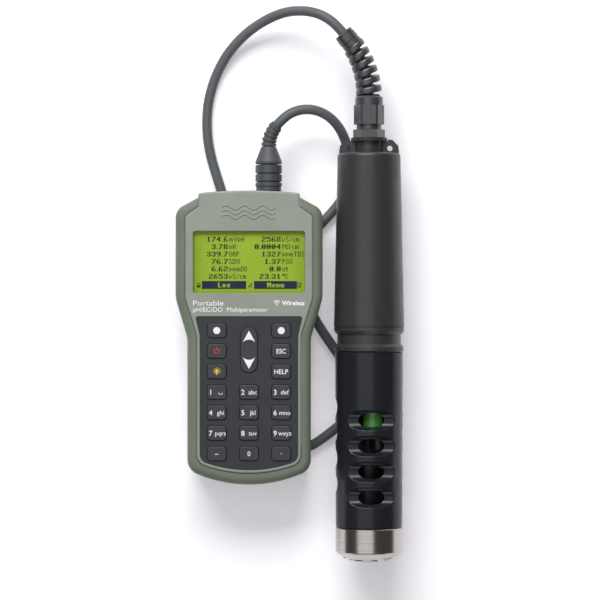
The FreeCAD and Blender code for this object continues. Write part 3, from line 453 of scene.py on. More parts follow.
class Wiring:
    """Places nodes in one node tree and joins their sockets."""

    def __init__(self, tree: bpy.types.NodeTree) -> None:
        """Take the tree to be wired."""
        self.tree = tree

    def node(self, kind: str, inputs: Optional[dict] = None, **settings: Any) -> bpy.types.Node:
        """Add a node.

        Args:
            kind: Its type, without the leading ShaderNode.
            inputs: Values or sockets by input name or number.
            settings: The node's own properties.

        Returns:
            The node.
        """
        made = self.tree.nodes.new("ShaderNode" + kind)
        for name, value in settings.items():
            setattr(made, name, value)
        return self.feed(made, inputs or {})

    def feed(self, node: bpy.types.Node, inputs: dict) -> bpy.types.Node:
        """Give a node its inputs.

        Args:
            node: The node.
            inputs: Values or sockets by input name or number.

        Returns:
            The same node.
        """
        for name, value in inputs.items():
            if isinstance(value, Socket):
                self.tree.links.new(value, node.inputs[name])
            else:
                node.inputs[name].default_value = value
        return node

    def math(self, operation: str, first: Any, second: Any = 0.0) -> Socket:
        """One arithmetic step on two values."""
        return self.node("Math", {0: first, 1: second}, operation=operation).outputs[0]

    def ramp(self, value: Socket, low: float, high: float, first: Any = 0.0, last: Any = 1.0) -> Socket:
        """The value carried evenly from the range low..high to first..last, and held at its ends."""
        inputs = {"Value": value, "From Min": low, "From Max": high, "To Min": first, "To Max": last}
        return self.node("MapRange", inputs).outputs[0]

    def blend(self, share: Any, first: Any, second: Any) -> Socket:
        """A colour between two."""
        return self.node("Mix", {0: share, 6: first, 7: second}, data_type="RGBA").outputs[2]

    def noise(self, vector: Socket, scale: Any, detail: float = 3.0) -> Socket:
        """Smooth noise over space, about a half."""
        inputs = {"Vector": vector, "Scale": scale, "Detail": detail}
        return self.node("TexNoise", inputs).outputs[0]

    def group(self, tree: bpy.types.NodeTree, inputs: dict) -> bpy.types.Node:
        """One of the shared effects, with its inputs by name."""
        made = self.tree.nodes.new("ShaderNodeGroup")
        made.node_tree = tree
        return self.feed(made, inputs)


@dataclass(frozen=True)
class Effect:
    """A shared shader effect.

    Args:
        name: The node group's name.
        inputs: Name, kind and default of each input.
        outputs: Name and kind of each output.
        wire: Function that wires the inside, from the group's input node to its output values.
    """

    name: str
    inputs: tuple[tuple[str, str, Any], ...]
    outputs: tuple[tuple[str, str], ...]
    wire: Callable[[Wiring, bpy.types.Node], Sequence[Socket]]

    def tree(self) -> bpy.types.NodeTree:
        """Build the node group once.

        Returns:
            The new group, or the one already built.
        """
        made = bpy.data.node_groups.get(self.name)
        if made is not None:
            return made
        made = bpy.data.node_groups.new(self.name, "ShaderNodeTree")
        for name, kind, default in self.inputs:
            socket = made.interface.new_socket(name, in_out="INPUT", socket_type="NodeSocket" + kind)
            if default is not None:
                socket.default_value = default
        for name, kind in self.outputs:
            made.interface.new_socket(name, in_out="OUTPUT", socket_type="NodeSocket" + kind)
        wiring = Wiring(made)
        start = made.nodes.new("NodeGroupInput")
        end = made.nodes.new("NodeGroupOutput")
        for index, value in enumerate(self.wire(wiring, start)):
            made.links.new(value, end.inputs[index])
        return made


def wire_grain(wiring: Wiring, start: bpy.types.Node) -> tuple[Socket, Socket]:
    """Wire a moulded texture.

    Args:
        wiring: The group's tree.
        start: Its input node, with the place and the number of cells in a metre.

    Returns:
        The height of fine cells blended with finer noise, and a slow mottle of tone.
    """
    vector, cells = start.outputs["Vector"], start.outputs["Cells"]
    pits = wiring.node("TexVoronoi", {"Vector": vector, "Scale": cells}, feature="SMOOTH_F1")
    fine = wiring.noise(vector, wiring.math("MULTIPLY", cells, 1.7), 2.0)
    height = wiring.math("ADD", wiring.math("MULTIPLY", pits.outputs[0], 0.6),
                         wiring.math("MULTIPLY", fine, 0.4))
    tone = wiring.ramp(wiring.noise(vector, wiring.math("MULTIPLY", cells, 0.02), 4.0), 0.35, 0.65)
    return height, tone


def wire_scuffs(wiring: Wiring, start: bpy.types.Node) -> tuple[Socket]:
    """Wire handling marks.

    Args:
        wiring: The group's tree.
        start: Its input node, with the place and the number of cells in a metre.

    Returns:
        A mask of hair scratches in two directions, shown where a slow noise lets them.
    """
    vector, cells = start.outputs["Vector"], start.outputs["Cells"]
    lines = []
    for turn in ((0.3, 0.2, 0.6), (0.1, -0.4, 2.1)):
        long = wiring.node("Mapping", {"Vector": vector, "Rotation": turn, "Scale": (1.0, 0.05, 1.0)})
        lines.append(wiring.ramp(wiring.noise(long.outputs[0], cells, 1.0), 0.69, 0.76))
    patches = wiring.ramp(wiring.noise(vector, wiring.math("MULTIPLY", cells, 0.06), 2.0), 0.45, 0.7)
    return (wiring.math("MULTIPLY", wiring.math("MAXIMUM", *lines), patches),)


def wire_turning(wiring: Wiring, start: bpy.types.Node) -> tuple[Socket, Socket]:
    """Wire the lines of turned metal.

    Args:
        wiring: The group's tree.
        start: Its input node, with the place and the number of lines in a metre.

    Returns:
        Noise by height along the Y axis and angle about it, and the same noise drawn out.
    """
    place = wiring.node("SeparateXYZ", {0: start.outputs["Vector"]})
    x, y, z = place.outputs
    angle = wiring.math("ARCTAN2", x, z)
    across = wiring.math("MULTIPLY", y, start.outputs["Cells"])
    lathe = wiring.node("CombineXYZ", {0: across, 1: angle}).outputs[0]
    lines = wiring.noise(lathe, 1.0, 6.0)
    return lines, wiring.ramp(wiring.noise(lathe, 0.13, 3.0), 0.35, 0.65)


GRAIN = Effect("moulded_grain", (("Vector", "Vector", None), ("Cells", "Float", 2500.0)),
               (("Height", "Float"), ("Tone", "Float")), wire_grain)
SCUFFS = Effect("handling_scuffs", (("Vector", "Vector", None), ("Cells", "Float", 900.0)),
                (("Mask", "Float"),), wire_scuffs)
TURNING = Effect("lathe_lines", (("Vector", "Vector", None), ("Cells", "Float", 4000.0)),
                 (("Height", "Float"), ("Tone", "Float")), wire_turning)


@dataclass(frozen=True)
class Finish:
    """A moulded plastic, rubber or metal.

    Args:
        name: The material's name.
        colour: Its main colour, six hexadecimal digits.
        second: The colour that mottles it.
        roughness: Where it is smoothest.
        duller: Where it is dullest.
        cells: Texture cells in a metre.
        relief: Depth of the texture.
        scuffed: Colour of its handling marks.
        metallic: One for metal.
        coat: A clear gloss over the colour.
        sheen: A soft bloom, as on rubber.
        specular: Strength of its reflections.
        scuffing: How strongly handling marks tint it.
    """

    name: str
    colour: str
    second: str
    roughness: float
    duller: float
    cells: float = 2500.0
    relief: float = 0.00002
    scuffed: str = "8a8c8e"
    metallic: float = 0.0
    coat: float = 0.0
    sheen: float = 0.0
    specular: float = 0.5
    scuffing: float = 0.22

    def finish(self, wiring: Wiring, shader: bpy.types.Node, colour: Socket, dull: Socket,
               height: Socket) -> None:
        """Feed the shader.

        Args:
            wiring: The material's tree.
            shader: Its Principled shader.
            colour: Colour over the surface.
            dull: Nought where it is smoothest, one where dullest.
            height: Texture height, from nought to one.
        """
        links = wiring.tree.links
        links.new(colour, shader.inputs["Base Color"])
        links.new(wiring.ramp(dull, 0.0, 1.0, self.roughness, self.duller), shader.inputs["Roughness"])
        bump = wiring.node("Bump", {"Strength": 1.0, "Distance": self.relief, "Height": height})
        links.new(bump.outputs[0], shader.inputs["Normal"])

    def base(self, wiring: Wiring, place: Socket) -> tuple[Socket, Socket, Socket]:
        """Work out the look over the surface.

        Args:
            wiring: The material's tree.
            place: Where on the object.

        Returns:
            The mottled and scuffed colour, the dullness and the texture height.
        """
        grain = wiring.group(GRAIN.tree(), {"Vector": place, "Cells": self.cells})
        marks = wiring.group(SCUFFS.tree(), {"Vector": place}).outputs["Mask"]
        colour = wiring.blend(grain.outputs["Tone"], linear(self.colour), linear(self.second))
        colour = wiring.blend(wiring.math("MULTIPLY", marks, self.scuffing), colour, linear(self.scuffed))
        dull = wiring.math("MAXIMUM", grain.outputs["Tone"], marks)
        return colour, dull, grain.outputs["Height"]

    def wire(self, wiring: Wiring, shader: bpy.types.Node, place: Socket) -> None:
        """Wire the plain moulded finish."""
        self.finish(wiring, shader, *self.base(wiring, place))

    def material(self) -> bpy.types.Material:
        """Build the material once.

        Returns:
            The new material, or the one already built.
        """
        title = self.name + "_finish"
        material = bpy.data.materials.get(title)
        if material is None:
            material = bpy.data.materials.new(title)
            material.diffuse_color = linear(self.colour)
            material.use_nodes = True
            material.node_tree.nodes.clear()
            wiring = Wiring(material.node_tree)
            shader = wiring.node("BsdfPrincipled", {
                "Metallic": self.metallic, "Coat Weight": self.coat, "Coat Roughness": 0.12,
                "Sheen Weight": self.sheen, "Sheen Roughness": 0.5,
                "Specular IOR Level": self.specular,
            })
            output = wiring.node("OutputMaterial")
            material.node_tree.links.new(shader.outputs[0], output.inputs[0])
            self.wire(wiring, shader, wiring.node("TexCoord").outputs["Object"])
        return material


@dataclass(frozen=True)
class TurnedSteel(Finish):
    """Stainless steel turned on a lathe about the probe's axis."""

    scuffing: float = 0.3

    def wire(self, wiring: Wiring, shader: bpy.types.Node, place: Socket) -> None:
        """Wire the steel, with its fine lines running round the ring.

        Args:
            wiring: The material's tree.
            shader: Its Principled shader.
            place: Where on the object.
        """
        centred = wiring.node("Mapping", {"Vector": place, "Location": (-PROBE_X, 0.0, 0.0)}).outputs[0]
        lathe = wiring.group(TURNING.tree(), {"Vector": centred, "Cells": self.cells})
        marks = wiring.group(SCUFFS.tree(), {"Vector": place}).outputs["Mask"]
        colour = wiring.blend(lathe.outputs["Tone"], linear(self.colour), linear(self.second))
        colour = wiring.blend(wiring.math("MULTIPLY", marks, self.scuffing), colour, linear(self.scuffed))
        self.finish(wiring, shader, colour, lathe.outputs["Height"], lathe.outputs["Height"])


@dataclass(frozen=True)
class Backlight(Finish):
    """The display's glowing panel, dark outside its lit area, with painted shade darkening its colour and
    glow towards the lit area's edges.

    Args:
        middle: Centre x, y of the lit area.
        wide: Its width.
        tall: Its height.
        face: Height of the panel's face.
        glow: Strength of its light.
        border: Colour outside the lit area.
        cloud: How strongly the second colour clouds the lit area.
        cloud_cells: Clouds in a metre.
    """

    middle: tuple[float, float] = (0.0, 0.0)
    wide: float = 0.07
    tall: float = 0.039
    face: float = 0.0
    glow: float = 0.05
    border: str = "24272a"
    cloud: float = 0.25
    cloud_cells: float = 35.0

    def wire(self, wiring: Wiring, shader: bpy.types.Node, place: Socket) -> None:
        """Wire the panel: lit where it is inside the area and near the face, with painted shade towards
        the area's edges.

        Args:
            wiring: The material's tree.
            shader: Its Principled shader.
            place: Where on the object.
        """
        x, y, z = wiring.node("SeparateXYZ", {0: place}).outputs
        across = wiring.math("ABSOLUTE", wiring.math("SUBTRACT", x, self.middle[0]))
        along = wiring.math("ABSOLUTE", wiring.math("SUBTRACT", y, self.middle[1]))
        inside = wiring.math("MULTIPLY", wiring.math("LESS_THAN", across, self.wide / 2),
                             wiring.math("LESS_THAN", along, self.tall / 2))
        near_face = wiring.math("GREATER_THAN", z, self.face - 0.1 * MM)
        inside = wiring.math("MULTIPLY", inside, near_face)
        _, dull, height = self.base(wiring, place)
        # Painted shade: over the outer part of the lit area, the colour and the glow blend towards the
        # second, darker green. This stands for shade under the window's frame.
        edge = wiring.math("MAXIMUM", wiring.math("DIVIDE", across, self.wide / 2),
                           wiring.math("DIVIDE", along, self.tall / 2))
        lamp = wiring.blend(wiring.ramp(edge, 0.7, 1.02), linear(self.colour), linear(self.second))
        clouds = wiring.ramp(wiring.noise(place, self.cloud_cells, 2.0), 0.3, 0.7)
        lamp = wiring.blend(wiring.math("MULTIPLY", clouds, self.cloud), lamp, linear(self.second))
        self.finish(wiring, shader, wiring.blend(inside, linear(self.border), lamp), dull, height)
        glow = wiring.blend(inside, linear("000000"), lamp)
        wiring.tree.links.new(glow, shader.inputs["Emission Color"])
        shader.inputs["Emission Strength"].default_value = self.glow


@dataclass(frozen=True)
class ClearWindow(Finish):
    """The display's clear acrylic window.

    Args:
        film: How much of it shows where it is clean.
        marked: How much of it shows where it is scratched.
    """

    film: float = 0.07
    marked: float = 0.16

    def wire(self, wiring: Wiring, shader: bpy.types.Node, place: Socket) -> None:
        """Wire the window: almost clear, with a faint film of handling marks.

        Args:
            wiring: The material's tree.
            shader: Its Principled shader.
            place: Where on the object.
        """
        colour, dull, height = self.base(wiring, place)
        self.finish(wiring, shader, colour, dull, height)
        marks = wiring.group(SCUFFS.tree(), {"Vector": place}).outputs["Mask"]
        shown = wiring.ramp(marks, 0.0, 1.0, self.film, self.marked)
        wiring.tree.links.new(shown, shader.inputs["Alpha"])


@dataclass(frozen=True)
class Banded(Finish):
    """A surface with a second colour in bands along one axis, as on a cell's sleeve or a board.

    Args:
        axis: 0, 1 or 2 for bands stacked along X, Y or Z.
        pitch: Length of one band and its gap.
        start: Where a band starts.
        share: Part of the pitch that the band takes.
        stripe: Colour of the band.
    """

    axis: int = 1
    pitch: float = 0.05
    start: float = 0.0
    share: float = 0.25
    stripe: str = "b87333"

    def wire(self, wiring: Wiring, shader: bpy.types.Node, place: Socket) -> None:
        """Wire the bands: the stripe where the share of a pitch gone by is under the band's.

        Args:
            wiring: The material's tree.
            shader: Its Principled shader.
            place: Where on the object.
        """
        colour, dull, height = self.base(wiring, place)
        along = wiring.node("SeparateXYZ", {0: place}).outputs[self.axis]
        step = wiring.math("DIVIDE", wiring.math("SUBTRACT", along, self.start), self.pitch)
        inside = wiring.math("LESS_THAN", wiring.math("FRACT", step), self.share)
        self.finish(wiring, shader, wiring.blend(inside, colour, linear(self.stripe)), dull, height)


CELLS_FINE, CELLS_MID, CELLS_COARSE = 5200.0, 3200.0, 1900.0  # Texture cells in a metre.

FINISHES = {
    "case_grey_green": Finish("case_grey_green", "8f958b", "898f85", 0.42, 0.56, CELLS_MID, 0.00003,
                              "a9ada6"),
    "bumper_olive": Finish("bumper_olive", "6b7464", "66705f", 0.55, 0.72, CELLS_COARSE, 0.00003,
                           "8b9285", sheen=0.15),
    "seal_rubber": Finish("seal_rubber", "1b1c1e", "222426", 0.5, 0.7, CELLS_MID, 0.00002, sheen=0.1),
    "steel_screws": Finish("steel_screws", "b9babb", "a3a4a6", 0.25, 0.42, CELLS_FINE, 0.000008,
                           "d8d8d8", metallic=1.0),
    "contact_brass": Finish("contact_brass", "c5a562", "b29452", 0.22, 0.4, CELLS_FINE, 0.000008,
                            "e2cf9a", metallic=1.0),
    "cell_sleeve": Banded("cell_sleeve", "17191d", "1f2228", 0.2, 0.32, CELLS_FINE, 0.000005, coat=0.4,
                          axis=1, pitch=0.0505, start=-0.1, share=0.24, stripe="b87a3c"),
    "circuit_board": Banded("circuit_board", "14502c", "185a33", 0.3, 0.5, CELLS_MID, 0.00002,
                            axis=0, pitch=0.0042, share=0.12, stripe="2c7a4a"),
    "clear_window": ClearWindow("clear_window", "1d211b", "232820", 0.05, 0.16, CELLS_FINE, 0.000001,
                                "ffffff"),
    "key_panel": Finish("key_panel", "26292e", "23262b", 0.4, 0.55, CELLS_MID, 0.00002, "5c6066"),
    "key_rubber": Finish("key_rubber", "2f3236", "2b2e32", 0.5, 0.66, CELLS_MID, 0.00002, sheen=0.1),
    "key_caps": Finish("key_caps", "303338", "2d3035", 0.36, 0.52, CELLS_FINE, 0.00002, "62666c"),
    "socket_plastic": Finish("socket_plastic", "2a2c2f", "26282b", 0.4, 0.55, CELLS_MID),
    "cable_jacket": Finish("cable_jacket", "565a5c", "505456", 0.42, 0.6, CELLS_MID, 0.00003, "787c7e"),
    "plug_plastic": Finish("plug_plastic", "46494e", "424549", 0.34, 0.5, CELLS_MID),
    "plug_rubber": Finish("plug_rubber", "494c50", "44474b", 0.5, 0.66, CELLS_MID, sheen=0.1),
    "gland_plastic": Finish("gland_plastic", "35383a", "313436", 0.27, 0.4, CELLS_MID, 0.00002,
                            specular=0.9),
    "probe_plastic": Finish("probe_plastic", "313335", "2e3032", 0.32, 0.44, CELLS_MID, 0.00002,
                            "55585a"),
    "shield_plastic": Finish("shield_plastic", "202228", "1d1f25", 0.2, 0.3, CELLS_MID, 0.000006,
                             "4c5058", specular=0.3),
    "ring_steel": TurnedSteel("ring_steel", "c4bfb9", "b2ada6", 0.14, 0.3, 9000.0, 0.00001,
                              "e6e4e0", metallic=1.0),
    "sensor_plastic": Finish("sensor_plastic", "202225", "1c1e21", 0.32, 0.45, CELLS_FINE),
    "oxygen_cap": Finish("oxygen_cap", "3f7d33", "37722c", 0.22, 0.36, CELLS_FINE, 0.000008,
                         "79a86e", coat=0.3),
}
WHITE_INK = Finish("white_ink", "f2f3f2", "e6e8e7", 0.4, 0.55, CELLS_FINE, 0.000006, "d4d6d6")
RED_INK = Finish("red_ink", "d8322f", "c92c2a", 0.4, 0.55, CELLS_FINE, 0.000006, "e06a66")
YELLOW_INK = Finish("yellow_ink", "f3c81c", "e8bb14", 0.4, 0.55, CELLS_FINE, 0.000006, "f6dc6c")
READING_INK = Finish("reading_ink", "181e24", "1d242c", 0.45, 0.6, CELLS_FINE, 0.000004, "2c3640",
                     specular=0.1)
BAR_INK = Finish("bar_ink", "252c44", "2b3349", 0.45, 0.6, CELLS_FINE, 0.000004, "323a50",
                 specular=0.1)
CASE_RELIEF = Finish("case_relief", "8b9187", "858b81", 0.42, 0.56, CELLS_MID, 0.00003, "a9ada6")


class Dresser:
    """Gives every CAD node the finish of its material slot."""

    def __init__(self, finishes: dict[str, Finish]) -> None:
        """Take the finishes by slot name."""
        self.finishes = finishes

    def dress(self) -> None:
        """Put each node's finish in all of its material slots."""
        for part in frame["record"]["subparts"]:
            finish = self.finishes[part["material_slot"]]
            materials = frame["nodes"][part["node"]].data.materials
            for index in range(len(materials)):
                materials[index] = finish.material()
            if not materials:
                materials.append(finish.material())
            log.info("%s: %s", part["node"], finish.name)


# ------------------------------------------------------------------ display
@dataclass
class Readout:
    """The display's readings, drawn in dots on the lit panel.

    Args:
        pitch: Distance between dots.
        row: Distance between lines.
        first: The first line, above the window's centre.
        numbers: Where the two columns of numbers end, from the window's centre.
        units: Where their units start.
        bar_y: Height of the two soft-key bars over the window's centre.
        bar_tall: Height of a bar.
        bars: Each bar's left end, right end and caption.
        signs: Each small sign beside the bars, and its place across.
        readings: Number and unit at the left, then at the right, line by line.
    """

    pitch: float = 0.445 * MM
    row: float = 4.66 * MM
    first: float = 14.4 * MM
    numbers: tuple[float, float] = (-13.3 * MM, 19.9 * MM)
    units: tuple[float, float] = (-12.4 * MM, 20.9 * MM)
    bar_y: float = -14.3 * MM
    bar_tall: float = 5.0 * MM
    bars: tuple[tuple[float, float, str], ...] = (
        (-29.6 * MM, -1.8 * MM, "Log"), (3.1 * MM, 30.1 * MM, "Menu"))
    signs: tuple[tuple[str, float], ...] = (
        ("battery", -31.6 * MM), ("link", 0.6 * MM), ("page", 31.6 * MM))
    readings: tuple[tuple[str, str, str, str], ...] = (
        ("174.6", "mVpH", "2568", "µS/cm"),
        ("3.78", "pH", "0.0004", "MΩ·cm"),
        ("339.7", "ORP", "1327", "ppmTDS"),
        ("76.7", "%DO", "1.37", "PSU"),
        ("6.62", "ppmDO", "0.0", "σt"),
        ("2653", "µS/cm", "23.31", "°C"),
    )

    def build(self) -> None:
        """Make the readings, their units, the two soft-key bars and the small signs."""
        font = DotFont(self.pitch)
        low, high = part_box("display_window")
        x, y = (low.x + high.x) / 2, (low.y + high.y) / 2
        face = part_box("display_module")[1].z
        base, top = face - SUNK, face + RAISED
        numbers, units = [], []
        for index, (left, left_unit, right, right_unit) in enumerate(self.readings):
            height = y + self.first - index * self.row
            for text, unit, end, start in ((left, left_unit, self.numbers[0], self.units[0]),
                                           (right, right_unit, self.numbers[1], self.units[1])):
                numbers.append(font.line(text, x + end, height, base, top, True, Align.RIGHT))
                units.append(font.line(unit, x + start, height, base, top))
        for sign, place in self.signs:
            units.append(font.line([sign], x + place, y + self.bar_y, base, top, False, Align.CENTRE))
        plates, captions = [], []
        for start, end, text in self.bars:
            middle = x + (start + end) / 2
            plates.append(bar(middle, y + self.bar_y, end - start, self.bar_tall, base, top))
            captions.append(font.line(text, middle, y + self.bar_y, base, top + RAISED, True,
                                      Align.CENTRE))
        ink = READING_INK.material()
        piece("display_numbers", joined(numbers), ink, BODY)
        piece("display_units", joined(units), ink, BODY)
        piece("display_bars", joined(plates), BAR_INK.material(), BODY)
        piece("display_captions", joined(captions), FINISHES["display_panel"].material(), BODY)


# ------------------------------------------------------------------ keys
class Sign(Enum):
    """What is printed on a key."""

    DIGIT = "digit"
    WORD = "word"
    DOT = "dot"
    POWER = "power"
    LAMP = "lamp"
    ARROWS = "arrows"


@dataclass
class KeyLegends:
    """The signs printed on the key caps.

    Args:
        digit_tall: Height of a digit.
        letter_tall: Height that a capital of the small letters would have.
        digit_left: How far the digit stands left of the cap's centre.
        letter_right: How far the letters stand right of it.
        word_tall: Height of a capital in a word.
        word_wide: The words that are set to a width, with that width.
        dot: Radius of the soft keys' dots.
        arrow_up: How far the upper arrow stands over the rocker's centre.
        arrow_down: How far the lower arrow stands under it.
        ink: Thickness of the print over the cap.
        signs: Each key, what kind of sign it has, and its words.
    """

    digit_tall: float = 3.3 * MM
    letter_tall: float = 2.9 * MM
    digit_left: float = 3.8 * MM
    letter_right: float = 2.3 * MM
    word_tall: float = 3.0 * MM
    word_wide: tuple[tuple[str, float], ...] = (("ESC", 5.9 * MM), ("HELP", 8.6 * MM))
    dot: float = 2.2 * MM
    arrow_up: float = 8.6 * MM
    arrow_down: float = 8.2 * MM
    ink: float = 0.04 * MM
    signs: tuple[tuple[str, Sign, str], ...] = (
        ("soft_left", Sign.DOT, ""), ("soft_right", Sign.DOT, ""), ("power", Sign.POWER, ""),
        ("light", Sign.LAMP, ""), ("escape", Sign.WORD, "ESC"), ("help", Sign.WORD, "HELP"),
        ("1", Sign.DIGIT, "_"), ("2", Sign.DIGIT, "abc"), ("3", Sign.DIGIT, "def"),
        ("4", Sign.DIGIT, "ghi"), ("5", Sign.DIGIT, "jkl"), ("6", Sign.DIGIT, "mno"),
        ("7", Sign.DIGIT, "pqrs"), ("8", Sign.DIGIT, "tuv"), ("9", Sign.DIGIT, "wxyz"),
        ("minus", Sign.WORD, "–"), ("0", Sign.WORD, "0"), ("point", Sign.WORD, "·"),
        ("arrows", Sign.ARROWS, ""),
    )

    def digit(self, number: str, letters: str, low: float, high: float) -> Shape:
        """A digit and what stands beside it.

        Args:
            number: The digit.
            letters: Its small letters, or a low line for the space sign.
            low: Height of the underside.
            high: Height of the top.

        Returns:
            The digit at the left of the origin and the letters or the space sign at the right.
        """
        left = words(number, self.digit_tall, low, high, 0.012).moved(-self.digit_left)
        if letters == "_":
            floor_bar = bar(self.letter_right, -1.3 * MM, 2.6 * MM, 0.35 * MM, low, high)
            ends = [bar(self.letter_right + side * 1.13 * MM, -0.9 * MM, 0.35 * MM, 1.0 * MM, low, high)
                    for side in (-1, 1)]
            return joined([left, floor_bar, *ends])
        return joined([left, words(letters, self.letter_tall, low, high, 0.004).moved(self.letter_right)])

    def power(self, low: float, high: float) -> Shape:
        """The power sign, low to high: a ring open at the top with a stroke through the gap."""
        ring = band_arc(1.55 * MM, 0.5 * MM, 125.0, 415.0, low, high)
        return joined([ring, bar(0.0, 1.3 * MM, 0.5 * MM, 1.9 * MM, low, high)])

    def lamp(self, low: float, high: float) -> Shape:
        """The light's sign.

        Args:
            low: Height of the underside.
            high: Height of the top.

        Returns:
            A bulb on its socket, with seven rays fanned over it at (cos a, sin a) from its middle.
        """
        middle, reach = 0.25 * MM, 2.0 * MM
        parts = [disc(1.15 * MM, 0.0, middle, low, high),
                 bar(0.0, -1.05 * MM, 1.1 * MM, 0.9 * MM, low, high),
                 bar(0.0, -1.85 * MM, 0.9 * MM, 0.35 * MM, low, high)]
        for angle in np.radians(range(-30, 211, 40)):
            x, y = reach * math.cos(angle), middle + reach * math.sin(angle)
            parts.append(bar(x, y, 1.0 * MM, 0.3 * MM, low, high, -angle))
        return joined(parts)

    def arrows(self, low: float, high: float) -> Shape:
        """The rocker's two arrow heads.

        Args:
            low: Height of the underside.
            high: Height of the top.

        Returns:
            An upper and a lower head, each with straight flanks from its tip to a hollow base,
            y = hollow (1 - x squared) over the base line, with x from -1 to 1 across it.
        """
        half_wide, half_tall, hollow = 3.87, 3.6, 1.5
        across = np.linspace(-half_wide, half_wide, 15)
        base = np.stack([across, -half_tall + hollow * (1 - (across / half_wide) ** 2)], 1)
        upper = plate(np.vstack([[[0.0, half_tall]], base]) * MM, low, high)
        return joined([upper.moved(y=self.arrow_up), upper.mirrored().moved(y=-self.arrow_down)])

    def build(self) -> None:
        """Print each cap on its own body."""
        white = WHITE_INK.material()
        for key, sign, text in self.signs:
            corner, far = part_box("key_" + key)
            x, y = (corner.x + far.x) / 2, (corner.y + far.y) / 2
            low, high = far.z - SUNK, far.z + self.ink
            material = white
            if sign is Sign.DIGIT:
                shape = self.digit(key, text, low, high)
            elif sign is Sign.WORD:
                shape = words(text, self.word_tall, low, high, 0.012, dict(self.word_wide).get(text))
            elif sign is Sign.DOT:
                shape = disc(self.dot, 0.0, 0.0, low, high)
            elif sign is Sign.POWER:
                shape, material = self.power(low, high), RED_INK.material()
            elif sign is Sign.LAMP:
                shape, material = self.lamp(low, high), YELLOW_INK.material()
            else:
                shape = self.arrows(low, high)
            piece("legend_" + key, shape.moved(x, y), material, f"key_{key}_body")


# ------------------------------------------------------------------ printed and raised marks
@dataclass
class FaceMarks:
    """The words under the window and the raised wave on the hood.

    Args:
        first: How far the first line stands below the window.
        second: How far the second line stands below it.
        sign_x: Place of the wireless sign's dot, from the meter's middle.
        sign_drop: How far that dot stands under the first line.
        sign_radii: Radii of the sign's arcs.
        wave_y: Height of the wave on the hood.
        wave_wide: Length of the wave.
        wave_high: Its crest over its middle line.
        waves: Number of crests.
        rib_gap: Distance between the wave's ribs.
        rib_half: Half the width of a rib.
        rib_high: Its height.
        rib_root: How far its edges lie within the hood.
    """

    first: float = 6.1 * MM
    second: float = 10.2 * MM
    sign_x: float = 17.4 * MM
    sign_drop: float = 1.2 * MM
    sign_radii: tuple[float, ...] = (1.15 * MM, 1.95 * MM, 2.75 * MM)
    wave_y: float = 51.1 * MM
    wave_wide: float = 34.0 * MM
    wave_high: float = 1.3 * MM
    waves: float = 3.0
    rib_gap: float = 2.9 * MM
    rib_half: float = 0.62 * MM
    rib_high: float = 0.4 * MM
    rib_root: float = 0.1 * MM

    def print_words(self, face: float) -> None:
        """Print the words and the wireless sign in white.

        Args:
            face: Height of the meter's face there.
        """
        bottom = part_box("display_window")[0].y
        low, high = face - SUNK, face + RAISED
        prints = []
        for text, tall, wide, bold, left, drop in (
                ("Portable", 3.4, 19.0, 0.0, -35.0, self.first),
                ("pH/EC/DO  Multiparameter", 2.9, 46.8, 0.0, -35.0, self.second),
                ("Wireless", 2.9, 14.2, 0.025, 20.6, self.first)):
            line = words(text, tall * MM, low, high, bold, wide * MM, Align.LEFT)
            prints.append(line.moved(METER_X + left * MM, bottom - drop))
        centre = METER_X + self.sign_x, bottom - self.first - self.sign_drop
        prints.append(disc(0.45 * MM, 0.0, 0.0, low, high, 16).moved(*centre))
        for radius in self.sign_radii:
            prints.append(band_arc(radius, 0.42 * MM, 45.0, 135.0, low, high).moved(*centre))
        piece("face_print", joined(prints), WHITE_INK.material(), BODY)

    def raise_wave(self, face: float) -> None:
        """Raise three ribs, each a half-round section carried along y = a sin(k x).

        The section stands square to the line, whose slope is a k cos(k x), and each rib thins
        out to its two ends by a square root.

        Args:
            face: Height of the hood there.
        """
        ribs = []
        for offset in (-self.rib_gap, 0.0, self.rib_gap):
            along = np.linspace(0.0, 1.0, 121)
            phase = along * self.waves * 2 * np.pi
            x = METER_X + (along - 0.5) * self.wave_wide
            y = self.wave_y + offset + self.wave_high * np.sin(phase)
            slope = self.wave_high * self.waves * 2 * np.pi / self.wave_wide * np.cos(phase)
            length = np.sqrt(1 + slope ** 2)
            across = np.linspace(-1.0, 1.0, 9)
            taper = np.clip(np.minimum(along, 1 - along) / 0.03, 0.02, 1.0) ** 0.5
            half = self.rib_half * taper[:, None]
            rise = self.rib_high * taper[:, None] * np.sqrt(1 - across ** 2)
            root = self.rib_root * (np.abs(across) > 0.99)
            top = np.stack([x[:, None] - half * across * (slope / length)[:, None],
                            y[:, None] + half * across / length[:, None],
                            face + rise - root], 2)
            under = top[:, ::-1].copy()
            under[:, :, 2] = face - 2 * self.rib_root
            ribs.append(swept(np.concatenate([top, under], 1)))
        piece("hood_wave", joined(ribs), CASE_RELIEF.material(), BODY, 40.0)

    def build(self) -> None:
        """Print the words and raise the wave on the flat of the face."""
        face = surface_height("meter_face", METER_X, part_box("display_window")[0].y - self.first)
        self.print_words(face)
        self.raise_wave(surface_height("meter_face", METER_X, self.wave_y))


def surface_height(node: str, x: float, y: float) -> float:
    """Find the top of a CAD node.

    Args:
        node: Its name.
        x: Place along X.
        y: Place along Y.

    Returns:
        The height at which the node is first met from straight above.
    """
    found, place, _, _ = frame["nodes"][node].ray_cast((x, y, 1.0), (0.0, 0.0, -1.0))
    if not found:
        raise RuntimeError(f"{node} is not under {x}, {y}")
    return place.z


